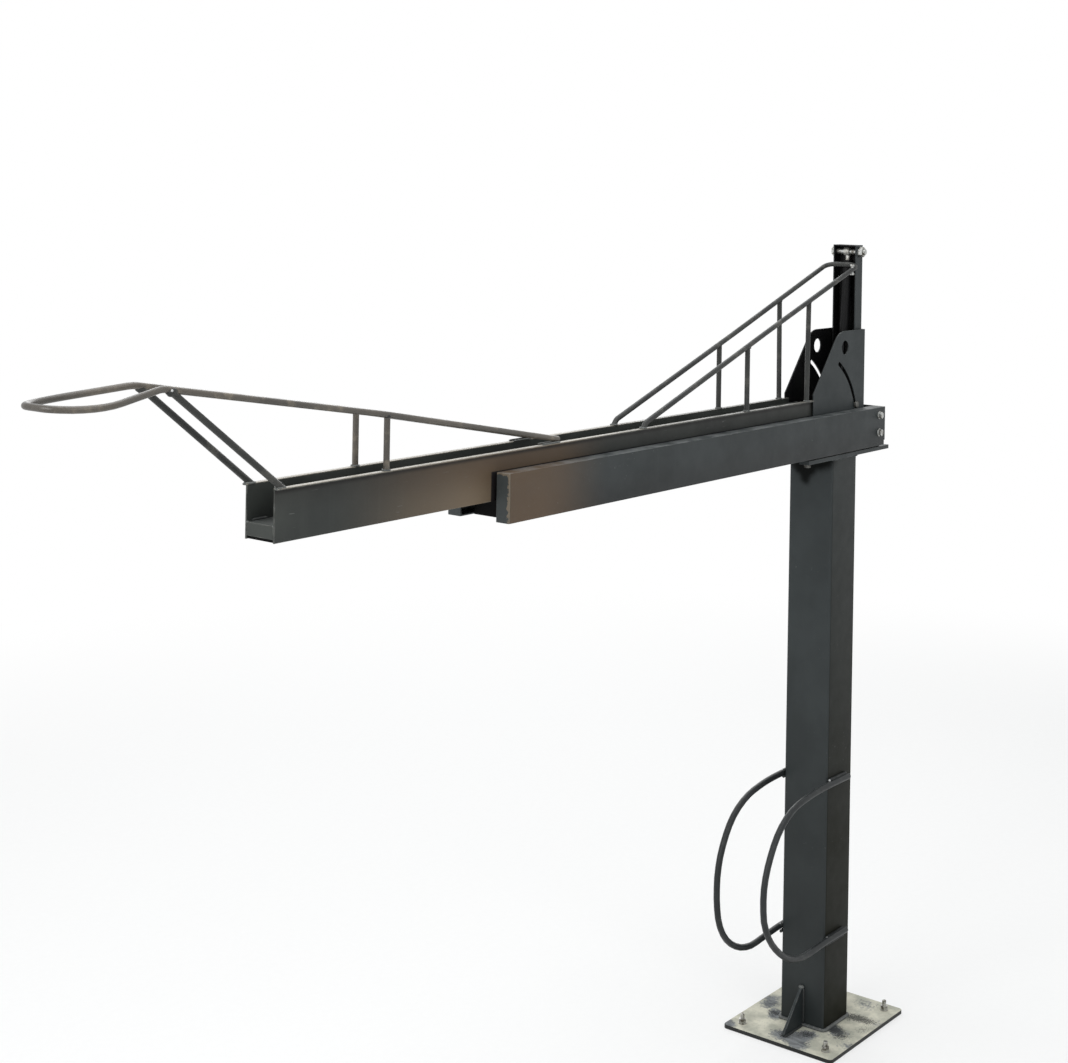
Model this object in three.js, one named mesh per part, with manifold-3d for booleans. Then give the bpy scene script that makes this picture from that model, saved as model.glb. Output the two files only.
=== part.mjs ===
// Upper level parking rack for one bicycle, on a square post that is bolted to the ground.
// A wheel tray rolls out between two fixed rails on a carriage and then tips down at its
// handle end; a gas spring in the carriage holds it level.
// Millimetres. +Z is up, +X runs along the tray away from its handle, -Y is the near side.
// The origin is the middle of the base plate's underside.

import * as THREE from 'three';
import Module from 'manifold-3d';
import { mergeVertices } from 'three/addons/utils/BufferGeometryUtils.js';

const wasm = await Module();
wasm.setup();

// Clearances
const touchGap = 0.3;          // between pieces that are welded, bolted or seated on each other
const runGap = 0.3;            // all round an axle or bolt in its hole
const cutOverrun = 40;         // how far a cutting tool runs past what it cuts

// Roundness
const rodSides = 12;
const boltSides = 16;
const rollerSides = 32;
const arcSteps = 6;
const bendStep = Math.PI / 16;

// Foot
const basePlate = { length: 308, width: 254, thick: 8, cornerRadius: 8 };
const anchor = { insetX: 29, insetY: 29, studRadius: 4.2, nutAcross: 14, nutHeight: 8, standOut: 10.5,
  washerRadius: 8.5, washerThick: 1.6 };
const gusset = { foot: 75, height: 79, thick: 6, nose: 6 };

// Post
const post = { side: 102, wall: 4, cornerRadius: 5, length: 1181 };

// Wheel hoops low on the post: their outlines are in shares of reach and height. They are bent
// by hand, so the far one bulges less and hangs a little lower.
const lowHoop = { rodRadius: 6.5, reach: 258, bottom: 195, height: 324, legOnPost: 76 };
const nearHoopShares = [
  [0.00, 1.000], [0.31, 0.990], [0.605, 0.948], [0.80, 0.849], [0.945, 0.679], [0.995, 0.556],
  [1.00, 0.463], [0.985, 0.355], [0.903, 0.231], [0.767, 0.123], [0.60, 0.040], [0.43, 0.003],
  [0.27, 0.000], [0.00, 0.010]];
const farHoopShares = [
  [0.00, 1.000], [0.29, 0.988], [0.56, 0.944], [0.755, 0.849], [0.898, 0.679], [0.943, 0.556],
  [0.952, 0.463], [0.945, 0.355], [0.906, 0.231], [0.797, 0.112], [0.62, 0.025], [0.44, -0.010],
  [0.27, -0.004], [0.00, 0.010]];
const lowHoopSteps = 40;

// Head of the post
const topPlate = { length: 341, width: 120, thick: 8, centreX: 5.5, notchDepth: 59 };
const packer = { thick: 3.1, width: 18, frontInset: 4, rearInset: 8 };

// Rails: two C channels, open towards each other
const rail = { frontReach: 1130, behindRoller: 35.9, height: 81, flange: 26.6, sheet: 2.5, halfGap: 38 };
const railCap = { thick: 3 };
const rearStop = { thick: 3, webHeight: 71, tabLength: 46, tabHeight: 58, tabBelowWebTop: 9 };
const endBolt = { radius: 4, across: 13, headHeight: 6, nutHeight: 6.5, washerRadius: 8.5,
  washerThick: 1.6, fromRailEnd: 23.5, upperFromTop: 16, spacing: 37 };
const railBolt = { radius: 5, across: 13, headHeight: 5, washerRadius: 7.5, washerThick: 1.6,
  frontInset: 15, rearInset: 25, offCentreY: 48 };

// Carriage
const carriage = { pivotX: -85, rearAxleX: 72, plateInner: 31.5, sheet: 3 };
const bracket = { frontX: -106, backX: 108.8, bottomAboveRail: 7.8, height: 239.5, shoulder: 114,
  topFrontX: -2, topRadius: 24 };
const bracketHole = { radius: 15, x: 24, belowTop: 34.5 };
const axle = { radius: 8, headRadius: 11, headThick: 2.3, headInset: 1.3 };
const roller = { width: 18, fromPlate: 5, railGap: 0.4, hubRadius: 14, rimDepth: 9, webInset: 3 };
const spacerRing = { radius: 13 };
const upright = { frontX: 78, halfWidth: 27.5, sheet: 3, bottomAboveRail: 121, height: 302 };
const uprightCap = { thick: 3, overhang: 1 };

// Tray
const tray = { endX: -1622, wallEndX: -99, sheet: 2.5, outerHalf: 29.9, height: 79, lip: 7.1,
  aboveRailBottom: 33, floorTop: 25, endFaceHeight: 20, bottomSetBack: 12, floorEndX: -112, lipEndX: -108 };
const slideBlock = { insideRails: 20, length: 30, halfWidth: 28, height: 30.5 };
const tailArm = { thick: 4, bossRadius: 18, endRadius: 13, weldLength: 95, weldBottom: 28.5, weldHeight: 40 };
const tailStud = { radius: 4, across: 13, headHeight: 5.5, nutHeight: 6.5, arm: 163, restAngle: 17.5 };
const tilt = { range: 40, slotRun: 1, slotClear: 0.7 };

// Bent rods on the tray
const trayRod = { radius: 5 };
const guard = { footX: -962, footHalf: 31, strutX: -1392, strutHalf: 32.5, strutRise: 85,
  bendX: -1833, bendHalf: 30, bendRise: 158 };
const handle = { dipX: -1969, dipRise: 143.2, dipHalf: 67, tipX: -2016, tipRise: 146, tipHalf: 24 };
const guardRadii = { knee: 400, bend: 45, dip: 85, tip: 26 };
const brace = { topX: -1822, footX: -1611 };
const holder = { footX: -716, footHalf: 32.5, kneeX: -704, kneeRise: 9.5, kneeRadius: 14,
  splayX: -300, splayRadius: 400, endX: 71, endHalf: 37, endRise: 273, endRadius: 20 };
const holderStrutX = [-361, -131];
const markerBolt = { radius: 2.7, headRadius: 4.6, headHeight: 4, x: 44 };

// Gas spring
const spring = { topX: 92, topBelowCap: 11.3, bodyRadius: 10, bodyWall: 1.5, bodyStart: 19, bodyLength: 173,
  rodRadius: 4, eyeRadius: 10, eyeHalf: 6, stemRadius: 5, pistonRadius: 8.2, pistonThick: 12,
  footEyeRadius: 11, footEyeHalf: 7, guideThick: 8, headThick: 6 };
const springBolt = { radius: 6, across: 19, nutHeight: 10, headHeight: 7.5, standOut: 4 };

// Heights and widths that follow from the sizes above
const postBottom = basePlate.thick + touchGap;
const postTop = postBottom + post.length;
const topPlateBottom = postTop + touchGap;
const topPlateTop = topPlateBottom + topPlate.thick;
const packerBottom = topPlateTop + touchGap;
const railBottom = packerBottom + packer.thick + touchGap;
const railTop = railBottom + rail.height;
const railOuter = rail.halfGap + rail.flange;
const railFrontX = -rail.frontReach;
const axleZ = railBottom + rail.height / 2;
const plateOuter = carriage.plateInner + carriage.sheet;
const bracketBottom = railBottom + bracket.bottomAboveRail;
const bracketTop = bracketBottom + bracket.height;
const uprightBackX = bracket.backX - carriage.sheet - touchGap;
const uprightBottom = railBottom + upright.bottomAboveRail;
const uprightTop = uprightBottom + upright.height;
const trayBottom = railBottom + tray.aboveRailBottom;
const lipTop = trayBottom + tray.height;
const lipOuter = tray.outerHalf + tray.lip;
const trayInner = tray.outerHalf - tray.sheet;
const trayFloorTop = trayBottom + tray.floorTop;
const armOuter = trayInner - touchGap;
const armInner = armOuter - tailArm.thick;
const rollerInner = plateOuter + roller.fromPlate;
const rollerRadius = rail.height / 2 - rail.sheet - roller.railGap;
const railRearX = carriage.rearAxleX + rollerRadius + rail.behindRoller;
const topPlateLeft = topPlate.centreX - topPlate.length / 2;
const studAngle = THREE.MathUtils.degToRad(tailStud.restAngle);
const tiltAngle = THREE.MathUtils.degToRad(tilt.range);
const studX = carriage.pivotX + tailStud.arm * Math.cos(studAngle);
const studZ = axleZ + tailStud.arm * Math.sin(studAngle);
const springTopZ = uprightTop + touchGap - spring.topBelowCap;
const springLength = Math.hypot(spring.topX - studX, springTopZ - studZ);

// Finishes
const powderCoat = new THREE.MeshStandardMaterial({ color: 0x43484a, roughness: 0.55, metalness: 0.35 });
const trayCoat = new THREE.MeshStandardMaterial({ color: 0x4c4f4e, roughness: 0.5, metalness: 0.35 });
const zinc = new THREE.MeshStandardMaterial({ color: 0xb4b5b0, roughness: 0.35, metalness: 0.9 });
const blackPlastic = new THREE.MeshStandardMaterial({ color: 0x17181a, roughness: 0.6, metalness: 0 });
const springBlack = new THREE.MeshStandardMaterial({ color: 0x101113, roughness: 0.35, metalness: 0.2 });

// Solids and geometry

function solidFrom(geometry) {
  const bare = geometry.clone();
  bare.deleteAttribute('normal');
  bare.deleteAttribute('uv');
  const merged = mergeVertices(bare);
  const vertProperties = new Float32Array(merged.attributes.position.array);
  const triVerts = new Uint32Array(merged.index.array);
  return new wasm.Manifold(new wasm.Mesh({ numProp: 3, vertProperties, triVerts }));
}

function geometryFrom(solid) {
  const mesh = solid.getMesh();
  const geometry = new THREE.BufferGeometry();
  geometry.setAttribute('position', new THREE.BufferAttribute(mesh.vertProperties, 3));
  geometry.setIndex(new THREE.BufferAttribute(mesh.triVerts, 1));
  geometry.computeVertexNormals();
  return geometry;
}

function joined(...solids) {
  return solids.reduce((whole, next) => whole.add(next));
}

function boxSolid(low, high) {
  const size = high.map((value, i) => value - low[i]);
  const middle = high.map((value, i) => (value + low[i]) / 2);
  return solidFrom(new THREE.BoxGeometry(...size).translate(...middle));
}

function barSolid(start, end, radius, sides = boltSides) {
  const from = new THREE.Vector3(...start);
  const to = new THREE.Vector3(...end);
  const along = to.clone().sub(from);
  const bar = new THREE.CylinderGeometry(radius, radius, along.length(), sides);
  const turn = new THREE.Quaternion().setFromUnitVectors(new THREE.Vector3(0, 1, 0), along.normalize());
  bar.applyQuaternion(turn);
  const middle = from.add(to).multiplyScalar(0.5);
  return solidFrom(bar.translate(middle.x, middle.y, middle.z));
}

function hexSolid(start, end, across) {
  return barSolid(start, end, across / Math.sqrt(3), 6);
}

function extruded(shape, depth) {
  return new THREE.ExtrudeGeometry(shape, { depth, bevelEnabled: false, curveSegments: arcSteps });
}

// A plate drawn in X and Z that lies between two values of Y
function plateAcross(shape, nearY, farY) {
  const plate = extruded(shape, farY - nearY);
  return solidFrom(plate.rotateX(Math.PI / 2).translate(0, farY, 0));
}

// A section drawn in Y and Z that runs between two values of X
function sectionAlong(shape, startX, endX) {
  const run = extruded(shape, endX - startX);
  const turn = new THREE.Matrix4().makeBasis(
    new THREE.Vector3(0, 1, 0), new THREE.Vector3(0, 0, 1), new THREE.Vector3(1, 0, 0));
  return solidFrom(run.applyMatrix4(turn).translate(startX, 0, 0));
}

// A plate drawn in X and Y that stands between two values of Z
function plateUp(shape, bottom, top) {
  return solidFrom(extruded(shape, top - bottom).translate(0, 0, bottom));
}

function outline(points) {
  return new THREE.Shape(points.map(([a, b]) => new THREE.Vector2(a, b)));
}

function roundedRectangle(halfX, halfY, radius, centreX = 0) {
  const shape = new THREE.Shape();
  shape.absarc(centreX + halfX - radius, halfY - radius, radius, 0, Math.PI / 2);
  shape.absarc(centreX - halfX + radius, halfY - radius, radius, Math.PI / 2, Math.PI);
  shape.absarc(centreX - halfX + radius, radius - halfY, radius, Math.PI, 1.5 * Math.PI);
  shape.absarc(centreX + halfX - radius, radius - halfY, radius, 1.5 * Math.PI, 2 * Math.PI);
  return shape;
}

function circleShape(radius) {
  return new THREE.Shape().absarc(0, 0, radius, 0, 2 * Math.PI);
}

// The centre line of a bent rod: straight runs between corners, each corner rounded by its radius
class BentRodPath extends THREE.Curve {
  constructor(corners, radii) {
    super();
    const points = corners.map((corner) => new THREE.Vector3(...corner));
    const first = points[1].clone().sub(points[0]).normalize();
    this.stations = [{ point: points[0], tangent: first }];
    for (let i = 1; i < points.length - 1; i += 1) {
      this.addBend(points[i - 1], points[i], points[i + 1], radii[i - 1]);
    }
    const end = points[points.length - 1];
    this.stations.push({ point: end, tangent: end.clone().sub(points[points.length - 2]).normalize() });
  }

  addBend(before, corner, after, radius) {
    const arriving = corner.clone().sub(before).normalize();
    const leaving = after.clone().sub(corner).normalize();
    const angle = arriving.angleTo(leaving);
    const inward = leaving.clone().addScaledVector(arriving, -leaving.dot(arriving)).normalize();
    const start = corner.clone().addScaledVector(arriving, -radius * Math.tan(angle / 2));
    const centre = start.clone().addScaledVector(inward, radius);
    const steps = Math.max(2, Math.ceil(angle / bendStep));
    for (let k = 0; k <= steps; k += 1) {
      const turned = (angle * k) / steps;
      const point = centre.clone()
        .addScaledVector(inward, -radius * Math.cos(turned))
        .addScaledVector(arriving, radius * Math.sin(turned));
      const tangent = arriving.clone().multiplyScalar(Math.cos(turned));
      this.stations.push({ point, tangent: tangent.addScaledVector(inward, Math.sin(turned)) });
    }
  }

  between(t, key) {
    const place = t * (this.stations.length - 1);
    const index = Math.min(Math.floor(place), this.stations.length - 2);
    return this.stations[index][key].clone().lerp(this.stations[index + 1][key], place - index);
  }

  getPoint(t) {
    return this.between(t, 'point');
  }

  getPointAt(u) {
    return this.between(u, 'point');
  }

  getTangentAt(u) {
    return this.between(u, 'tangent').normalize();
  }
}

function bentRod(corners, radii, radius) {
  const path = new BentRodPath(corners, radii);
  const options = { steps: path.stations.length - 1, extrudePath: path, curveSegments: rodSides / 2 };
  return solidFrom(new THREE.ExtrudeGeometry(circleShape(radius), options));
}

// Everything under the top of the tray's lip, with the gap that a welded foot keeps to it
function belowLip() {
  return boxSolid(
    [tray.endX - cutOverrun, -lipOuter - cutOverrun, trayBottom],
    [carriage.rearAxleX, lipOuter + cutOverrun, lipTop + touchGap]);
}

function named(name, solid, material) {
  const mesh = new THREE.Mesh(geometryFrom(solid), material);
  mesh.name = name;
  return mesh;
}

// Foot: base plate, anchors and gussets

const anchorX = basePlate.length / 2 - anchor.insetX;
const anchorY = basePlate.width / 2 - anchor.insetY;

function makeBasePlate() {
  const shape = roundedRectangle(basePlate.length / 2, basePlate.width / 2, basePlate.cornerRadius);
  let plate = plateUp(shape, 0, basePlate.thick);
  for (const sideX of [-1, 1]) {
    for (const sideY of [-1, 1]) {
      plate = plate.subtract(barSolid(
        [sideX * anchorX, sideY * anchorY, -cutOverrun],
        [sideX * anchorX, sideY * anchorY, cutOverrun], anchor.studRadius + runGap));
    }
  }
  return named('base_plate', plate, powderCoat);
}

function makeAnchor(name, sideX, sideY) {
  const x = sideX * anchorX;
  const y = sideY * anchorY;
  const washerBottom = basePlate.thick + touchGap;
  const nutTop = washerBottom + anchor.washerThick + anchor.nutHeight;
  const solid = joined(
    barSolid([x, y, touchGap], [x, y, nutTop + anchor.standOut], anchor.studRadius),
    barSolid([x, y, washerBottom], [x, y, washerBottom + anchor.washerThick], anchor.washerRadius),
    hexSolid([x, y, washerBottom + anchor.washerThick / 2], [x, y, nutTop], anchor.nutAcross));
  return named(name, solid, zinc);
}

function makeGusset(name, side) {
  const face = side * (post.side / 2 + touchGap);
  const tip = face + side * gusset.foot;
  const foot = basePlate.thick + touchGap;
  const corners = [[face, foot], [tip, foot], [tip, foot + gusset.nose],
    [face + side * gusset.nose, foot + gusset.height], [face, foot + gusset.height]];
  const ordered = side > 0 ? corners : corners.reverse();
  return named(name, plateAcross(outline(ordered), -gusset.thick / 2, gusset.thick / 2), powderCoat);
}

// Post and its low wheel hoops

function makePost() {
  const half = post.side / 2;
  const shape = roundedRectangle(half, half, post.cornerRadius);
  const inner = half - post.wall;
  shape.holes.push(roundedRectangle(inner, inner, post.cornerRadius - post.wall));
  return named('post', plateUp(shape, postBottom, postTop), powderCoat);
}

function makeLowHoop(name, side) {
  const shares = side < 0 ? nearHoopShares : farHoopShares;
  const y = side * (post.side / 2 + touchGap + lowHoop.rodRadius);
  const face = -post.side / 2;
  const bow = shares.map(([reach, height]) =>
    new THREE.Vector3(face - reach * lowHoop.reach, y, lowHoop.bottom + height * lowHoop.height));
  const legEnd = face + lowHoop.legOnPost;
  const points = [new THREE.Vector3(legEnd, y, bow[0].z), ...bow,
    new THREE.Vector3(legEnd, y, bow[bow.length - 1].z)];
  const path = new THREE.CatmullRomCurve3(points);
  const options = { steps: lowHoopSteps, extrudePath: path, curveSegments: rodSides / 2 };
  const hoop = new THREE.ExtrudeGeometry(circleShape(lowHoop.rodRadius), options);
  return named(name, solidFrom(hoop), powderCoat);
}

// Head: top plate, packers, rails, caps, stop and their bolts

const railBoltX = [topPlateLeft + railBolt.frontInset, railRearX - railBolt.rearInset];

function railBoltPlaces() {
  const places = [];
  for (const x of railBoltX) {
    for (const side of [-1, 1]) {
      places.push([x, side * railBolt.offCentreY]);
    }
  }
  return places;
}

function drilledForRailBolts(solid) {
  return railBoltPlaces().reduce((whole, [x, y]) => whole.subtract(barSolid(
    [x, y, topPlateBottom - cutOverrun], [x, y, railBottom + rail.sheet + cutOverrun],
    railBolt.radius + runGap)), solid);
}

function makeTopPlate() {
  const plate = boxSolid([topPlateLeft, -topPlate.width / 2, topPlateBottom],
    [topPlateLeft + topPlate.length, topPlate.width / 2, topPlateTop]);
  const notch = boxSolid([topPlateLeft - cutOverrun, -rail.halfGap, topPlateBottom - cutOverrun],
    [topPlateLeft + topPlate.notchDepth, rail.halfGap, topPlateTop + cutOverrun]);
  return named('top_plate', drilledForRailBolts(plate.subtract(notch)), powderCoat);
}

function makePacker(name, side) {
  const left = topPlateLeft + packer.frontInset;
  const right = railRearX - packer.rearInset;
  const inner = side * (railBolt.offCentreY - packer.width / 2);
  const outer = side * (railBolt.offCentreY + packer.width / 2);
  const strip = boxSolid([left, Math.min(inner, outer), packerBottom],
    [right, Math.max(inner, outer), packerBottom + packer.thick]);
  return named(name, drilledForRailBolts(strip), blackPlastic);
}

const endBoltX = railRearX - endBolt.fromRailEnd;
const endBoltZ = [railTop - endBolt.upperFromTop, railTop - endBolt.upperFromTop - endBolt.spacing];

function drilledForEndBolts(solid) {
  return endBoltZ.reduce((whole, z) => whole.subtract(barSolid(
    [endBoltX, -railOuter - cutOverrun, z], [endBoltX, railOuter + cutOverrun, z],
    endBolt.radius + runGap)), solid);
}

function makeRail(name, side) {
  const s = rail.sheet;
  const points = [[rail.halfGap, railBottom], [railOuter, railBottom], [railOuter, railTop],
    [rail.halfGap, railTop], [rail.halfGap, railTop - s], [railOuter - s, railTop - s],
    [railOuter - s, railBottom + s], [rail.halfGap, railBottom + s]];
  const sided = points.map(([y, z]) => [side * y, z]);
  const section = outline(side > 0 ? sided : sided.reverse());
  const channel = sectionAlong(section, railFrontX, railRearX);
  return named(name, drilledForEndBolts(drilledForRailBolts(channel)), powderCoat);
}

function makeRailCap(name, side) {
  const front = railFrontX - touchGap;
  const inner = side * rail.halfGap;
  const outer = side * railOuter;
  const cap = boxSolid([front - railCap.thick, Math.min(inner, outer), railBottom],
    [front, Math.max(inner, outer), railTop]);
  return named(name, cap, powderCoat);
}

function makeRearStop() {
  const webFront = railRearX + touchGap;
  const webBottom = railTop - rearStop.webHeight;
  const tabTop = railTop - rearStop.tabBelowWebTop;
  const tabOuter = railOuter - rail.sheet - touchGap;
  const tabInner = tabOuter - rearStop.thick;
  let stop = boxSolid([webFront, -railOuter, webBottom], [webFront + rearStop.thick, railOuter, railTop]);
  for (const side of [-1, 1]) {
    const low = Math.min(side * tabInner, side * tabOuter);
    const high = Math.max(side * tabInner, side * tabOuter);
    const front = webFront - rearStop.tabLength;
    stop = stop.add(boxSolid([front, low, tabTop - rearStop.tabHeight],
      [webFront + rearStop.thick / 2, high, tabTop]));
  }
  return named('rear_stop', drilledForEndBolts(stop), powderCoat);
}

function makeEndBolt(name, side, z) {
  const at = (y) => [endBoltX, side * y, z];
  const washerStart = railOuter + touchGap;
  const headStart = washerStart + endBolt.washerThick;
  const nutStart = railOuter - rail.sheet - rearStop.thick - 2 * touchGap;
  const solid = joined(
    barSolid(at(nutStart - endBolt.nutHeight), at(headStart), endBolt.radius),
    barSolid(at(washerStart), at(headStart), endBolt.washerRadius),
    hexSolid(at(headStart - endBolt.washerThick / 2), at(headStart + endBolt.headHeight), endBolt.across),
    hexSolid(at(nutStart), at(nutStart - endBolt.nutHeight), endBolt.across));
  return named(name, solid, zinc);
}

function makeRailBolt(name, x, y) {
  const washerTop = topPlateBottom - touchGap;
  const headTop = washerTop - railBolt.washerThick;
  const headBottom = headTop - railBolt.headHeight;
  const solid = joined(
    barSolid([x, y, headTop], [x, y, railBottom + rail.sheet - touchGap], railBolt.radius),
    barSolid([x, y, headTop], [x, y, washerTop], railBolt.washerRadius),
    hexSolid([x, y, headBottom], [x, y, headTop + railBolt.washerThick / 2], railBolt.across));
  return named(name, solid, zinc);
}

// The rear studs have no head: they end flush in the underside of the top plate
function makeRailStud(name, x, y) {
  const stud = barSolid([x, y, topPlateBottom + touchGap], [x, y, railBottom + rail.sheet - touchGap],
    railBolt.radius);
  return named(name, stud, zinc);
}

// Carriage: folded bracket, axles, spacers, upright channel and its cap

function arcSlot(radius, halfWidth, startAngle, endAngle) {
  const path = new THREE.Path();
  const x = carriage.pivotX;
  const end = (angle) => [x + radius * Math.cos(angle), axleZ + radius * Math.sin(angle)];
  path.absarc(x, axleZ, radius + halfWidth, startAngle, endAngle, false);
  path.absarc(...end(endAngle), halfWidth, endAngle, endAngle + Math.PI, false);
  path.absarc(x, axleZ, radius - halfWidth, endAngle, startAngle, true);
  path.absarc(...end(startAngle), halfWidth, startAngle + Math.PI, startAngle + 2 * Math.PI, false);
  return path;
}

function bracketShape() {
  const shoulderZ = bracketBottom + bracket.shoulder;
  const shape = new THREE.Shape();
  shape.moveTo(bracket.frontX, bracketBottom);
  shape.lineTo(bracket.backX, bracketBottom);
  shape.lineTo(bracket.backX, bracketTop);
  shape.lineTo(bracket.topFrontX + bracket.topRadius, bracketTop);
  const slopeX = bracket.topFrontX - bracket.frontX;
  const slopeZ = bracketTop - shoulderZ;
  const slope = Math.hypot(slopeX, slopeZ);
  shape.quadraticCurveTo(bracket.topFrontX, bracketTop,
    bracket.topFrontX - (slopeX / slope) * bracket.topRadius,
    bracketTop - (slopeZ / slope) * bracket.topRadius);
  shape.lineTo(bracket.frontX, shoulderZ);
  shape.closePath();
  const hole = new THREE.Path();
  hole.absarc(bracketHole.x, bracketTop - bracketHole.belowTop, bracketHole.radius, 0, 2 * Math.PI);
  const spare = THREE.MathUtils.degToRad(tilt.slotRun);
  const slot = arcSlot(tailStud.arm, tailStud.radius + tilt.slotClear, studAngle - spare,
    studAngle + tiltAngle + spare);
  shape.holes.push(hole, slot);
  return shape;
}

function drilledForAxles(solid) {
  return [carriage.pivotX, carriage.rearAxleX].reduce((whole, x) => whole.subtract(barSolid(
    [x, -railOuter, axleZ], [x, railOuter, axleZ], axle.radius + runGap)), solid);
}

function makeBracket() {
  const shape = bracketShape();
  const near = plateAcross(shape, -plateOuter, -carriage.plateInner);
  const far = plateAcross(shape, carriage.plateInner, plateOuter);
  const web = boxSolid([bracket.backX - carriage.sheet, -plateOuter + carriage.sheet / 2, bracketBottom],
    [bracket.backX, plateOuter - carriage.sheet / 2, bracketTop]);
  return named('carriage_bracket', drilledForAxles(joined(near, far, web)), powderCoat);
}

function makeAxle(name, x) {
  const end = railOuter - rail.sheet - axle.headInset;
  const solid = joined(
    barSolid([x, -end, axleZ], [x, end, axleZ], axle.radius),
    barSolid([x, -end, axleZ], [x, axle.headThick - end, axleZ], axle.headRadius),
    barSolid([x, end - axle.headThick, axleZ], [x, end, axleZ], axle.headRadius));
  return named(name, solid, zinc);
}

function makeSpacerRing(name, side) {
  const at = (y) => [carriage.pivotX, side * y, axleZ];
  const ring = barSolid(at(armOuter + touchGap), at(carriage.plateInner - touchGap), spacerRing.radius);
  const bore = barSolid(at(0), at(railOuter), axle.radius + runGap);
  return named(name, ring.subtract(bore), zinc);
}

function makeRoller(name, x, side) {
  const half = roller.width / 2;
  const bore = axle.radius + runGap;
  const rimInner = rollerRadius - roller.rimDepth;
  const web = half - roller.webInset;
  const profile = [[bore, -half], [roller.hubRadius, -half], [roller.hubRadius, -web], [rimInner, -web],
    [rimInner, -half], [rollerRadius, -half], [rollerRadius, half], [rimInner, half], [rimInner, web],
    [roller.hubRadius, web], [roller.hubRadius, half], [bore, half], [bore, -half]];
  const wheel = new THREE.LatheGeometry(profile.map(([r, h]) => new THREE.Vector2(r, h)), rollerSides);
  const y = side * (rollerInner + half);
  return named(name, solidFrom(wheel.translate(x, y, axleZ)), blackPlastic);
}

function makeUpright() {
  const sheet = upright.sheet;
  const half = upright.halfWidth;
  const shape = outline([[upright.frontX, -half], [uprightBackX, -half], [uprightBackX, half],
    [upright.frontX, half], [upright.frontX, half - sheet], [uprightBackX - sheet, half - sheet],
    [uprightBackX - sheet, sheet - half], [upright.frontX, sheet - half]]);
  const bore = barSolid([spring.topX, -half - cutOverrun, springTopZ],
    [spring.topX, half + cutOverrun, springTopZ], springBolt.radius + runGap);
  return named('upright_channel', plateUp(shape, uprightBottom, uprightTop).subtract(bore), powderCoat);
}

function makeUprightCap() {
  const bottom = uprightTop + touchGap;
  const cap = boxSolid([upright.frontX - uprightCap.overhang, -upright.halfWidth, bottom],
    [uprightBackX + uprightCap.overhang, upright.halfWidth, bottom + uprightCap.thick]);
  return named('upright_cap', cap, powderCoat);
}

// Gas spring, with its top bolt and nut

function makeSpringBolt() {
  const face = upright.halfWidth + touchGap;
  const at = (y) => [spring.topX, y, springTopZ];
  const nearEnd = face + touchGap + springBolt.nutHeight + springBolt.standOut;
  const solid = joined(
    barSolid(at(-nearEnd), at(face + springBolt.headHeight / 2), springBolt.radius),
    hexSolid(at(face), at(face + springBolt.headHeight), springBolt.across));
  return named('spring_top_bolt', solid, zinc);
}

function makeSpringNut() {
  const face = upright.halfWidth + touchGap;
  const at = (y) => [spring.topX, y, springTopZ];
  const nut = hexSolid(at(-face - springBolt.nutHeight), at(-face), springBolt.across);
  const bore = barSolid(at(-face - cutOverrun), at(0), springBolt.radius + runGap);
  return named('spring_top_nut', nut.subtract(bore), zinc);
}

// Turned about +Y with its top at the top bolt, then laid along the line to the tail studs
function laidAlongSpring(solid) {
  const down = new THREE.Vector3(studX - spring.topX, 0, studZ - springTopZ).normalize();
  const turn = new THREE.Quaternion().setFromUnitVectors(new THREE.Vector3(0, 0, -1), down);
  const geometry = geometryFrom(solid).applyQuaternion(turn);
  return solidFrom(geometry.translate(spring.topX, 0, springTopZ));
}

function turnedUpright(profile) {
  const lathe = new THREE.LatheGeometry(profile.map(([r, h]) => new THREE.Vector2(r, h)), boltSides);
  return solidFrom(lathe.rotateX(Math.PI / 2));
}

function eyeSolid(height, radius, half, bore) {
  const eye = barSolid([0, -half, height], [0, half, height], radius, boltSides);
  const hole = barSolid([0, -half - cutOverrun, height], [0, half + cutOverrun, height], bore, boltSides);
  return { eye, hole };
}

function makeSpringBody() {
  const top = -spring.bodyStart;
  const bottom = top - spring.bodyLength;
  const outer = spring.bodyRadius;
  const inner = outer - spring.bodyWall;
  const guide = spring.rodRadius + runGap;
  const profile = [[0, top], [0, top - spring.headThick], [inner, top - spring.headThick],
    [inner, bottom + spring.guideThick], [guide, bottom + spring.guideThick], [guide, bottom],
    [outer, bottom], [outer, top], [0, top]];
  const { eye, hole } = eyeSolid(0, spring.eyeRadius, spring.eyeHalf, springBolt.radius + runGap);
  const stem = barSolid([0, 0, 0], [0, 0, top - spring.headThick / 2], spring.stemRadius);
  const solid = joined(turnedUpright(profile), stem, eye).subtract(hole);
  return named('gas_spring_cylinder', laidAlongSpring(solid), springBlack);
}

function makeSpringRod() {
  const bodyBottom = -spring.bodyStart - spring.bodyLength;
  const pistonBottom = bodyBottom + spring.guideThick + touchGap;
  const { eye, hole } = eyeSolid(-springLength, spring.footEyeRadius, spring.footEyeHalf,
    tailStud.radius + runGap);
  const solid = joined(
    barSolid([0, 0, pistonBottom], [0, 0, -springLength], spring.rodRadius),
    barSolid([0, 0, pistonBottom], [0, 0, pistonBottom + spring.pistonThick], spring.pistonRadius),
    eye).subtract(hole);
  return named('gas_spring_rod', laidAlongSpring(solid), springBlack);
}

// Tray: two walls with lips, the floor between them, the block that guides it and its tail arms

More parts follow.
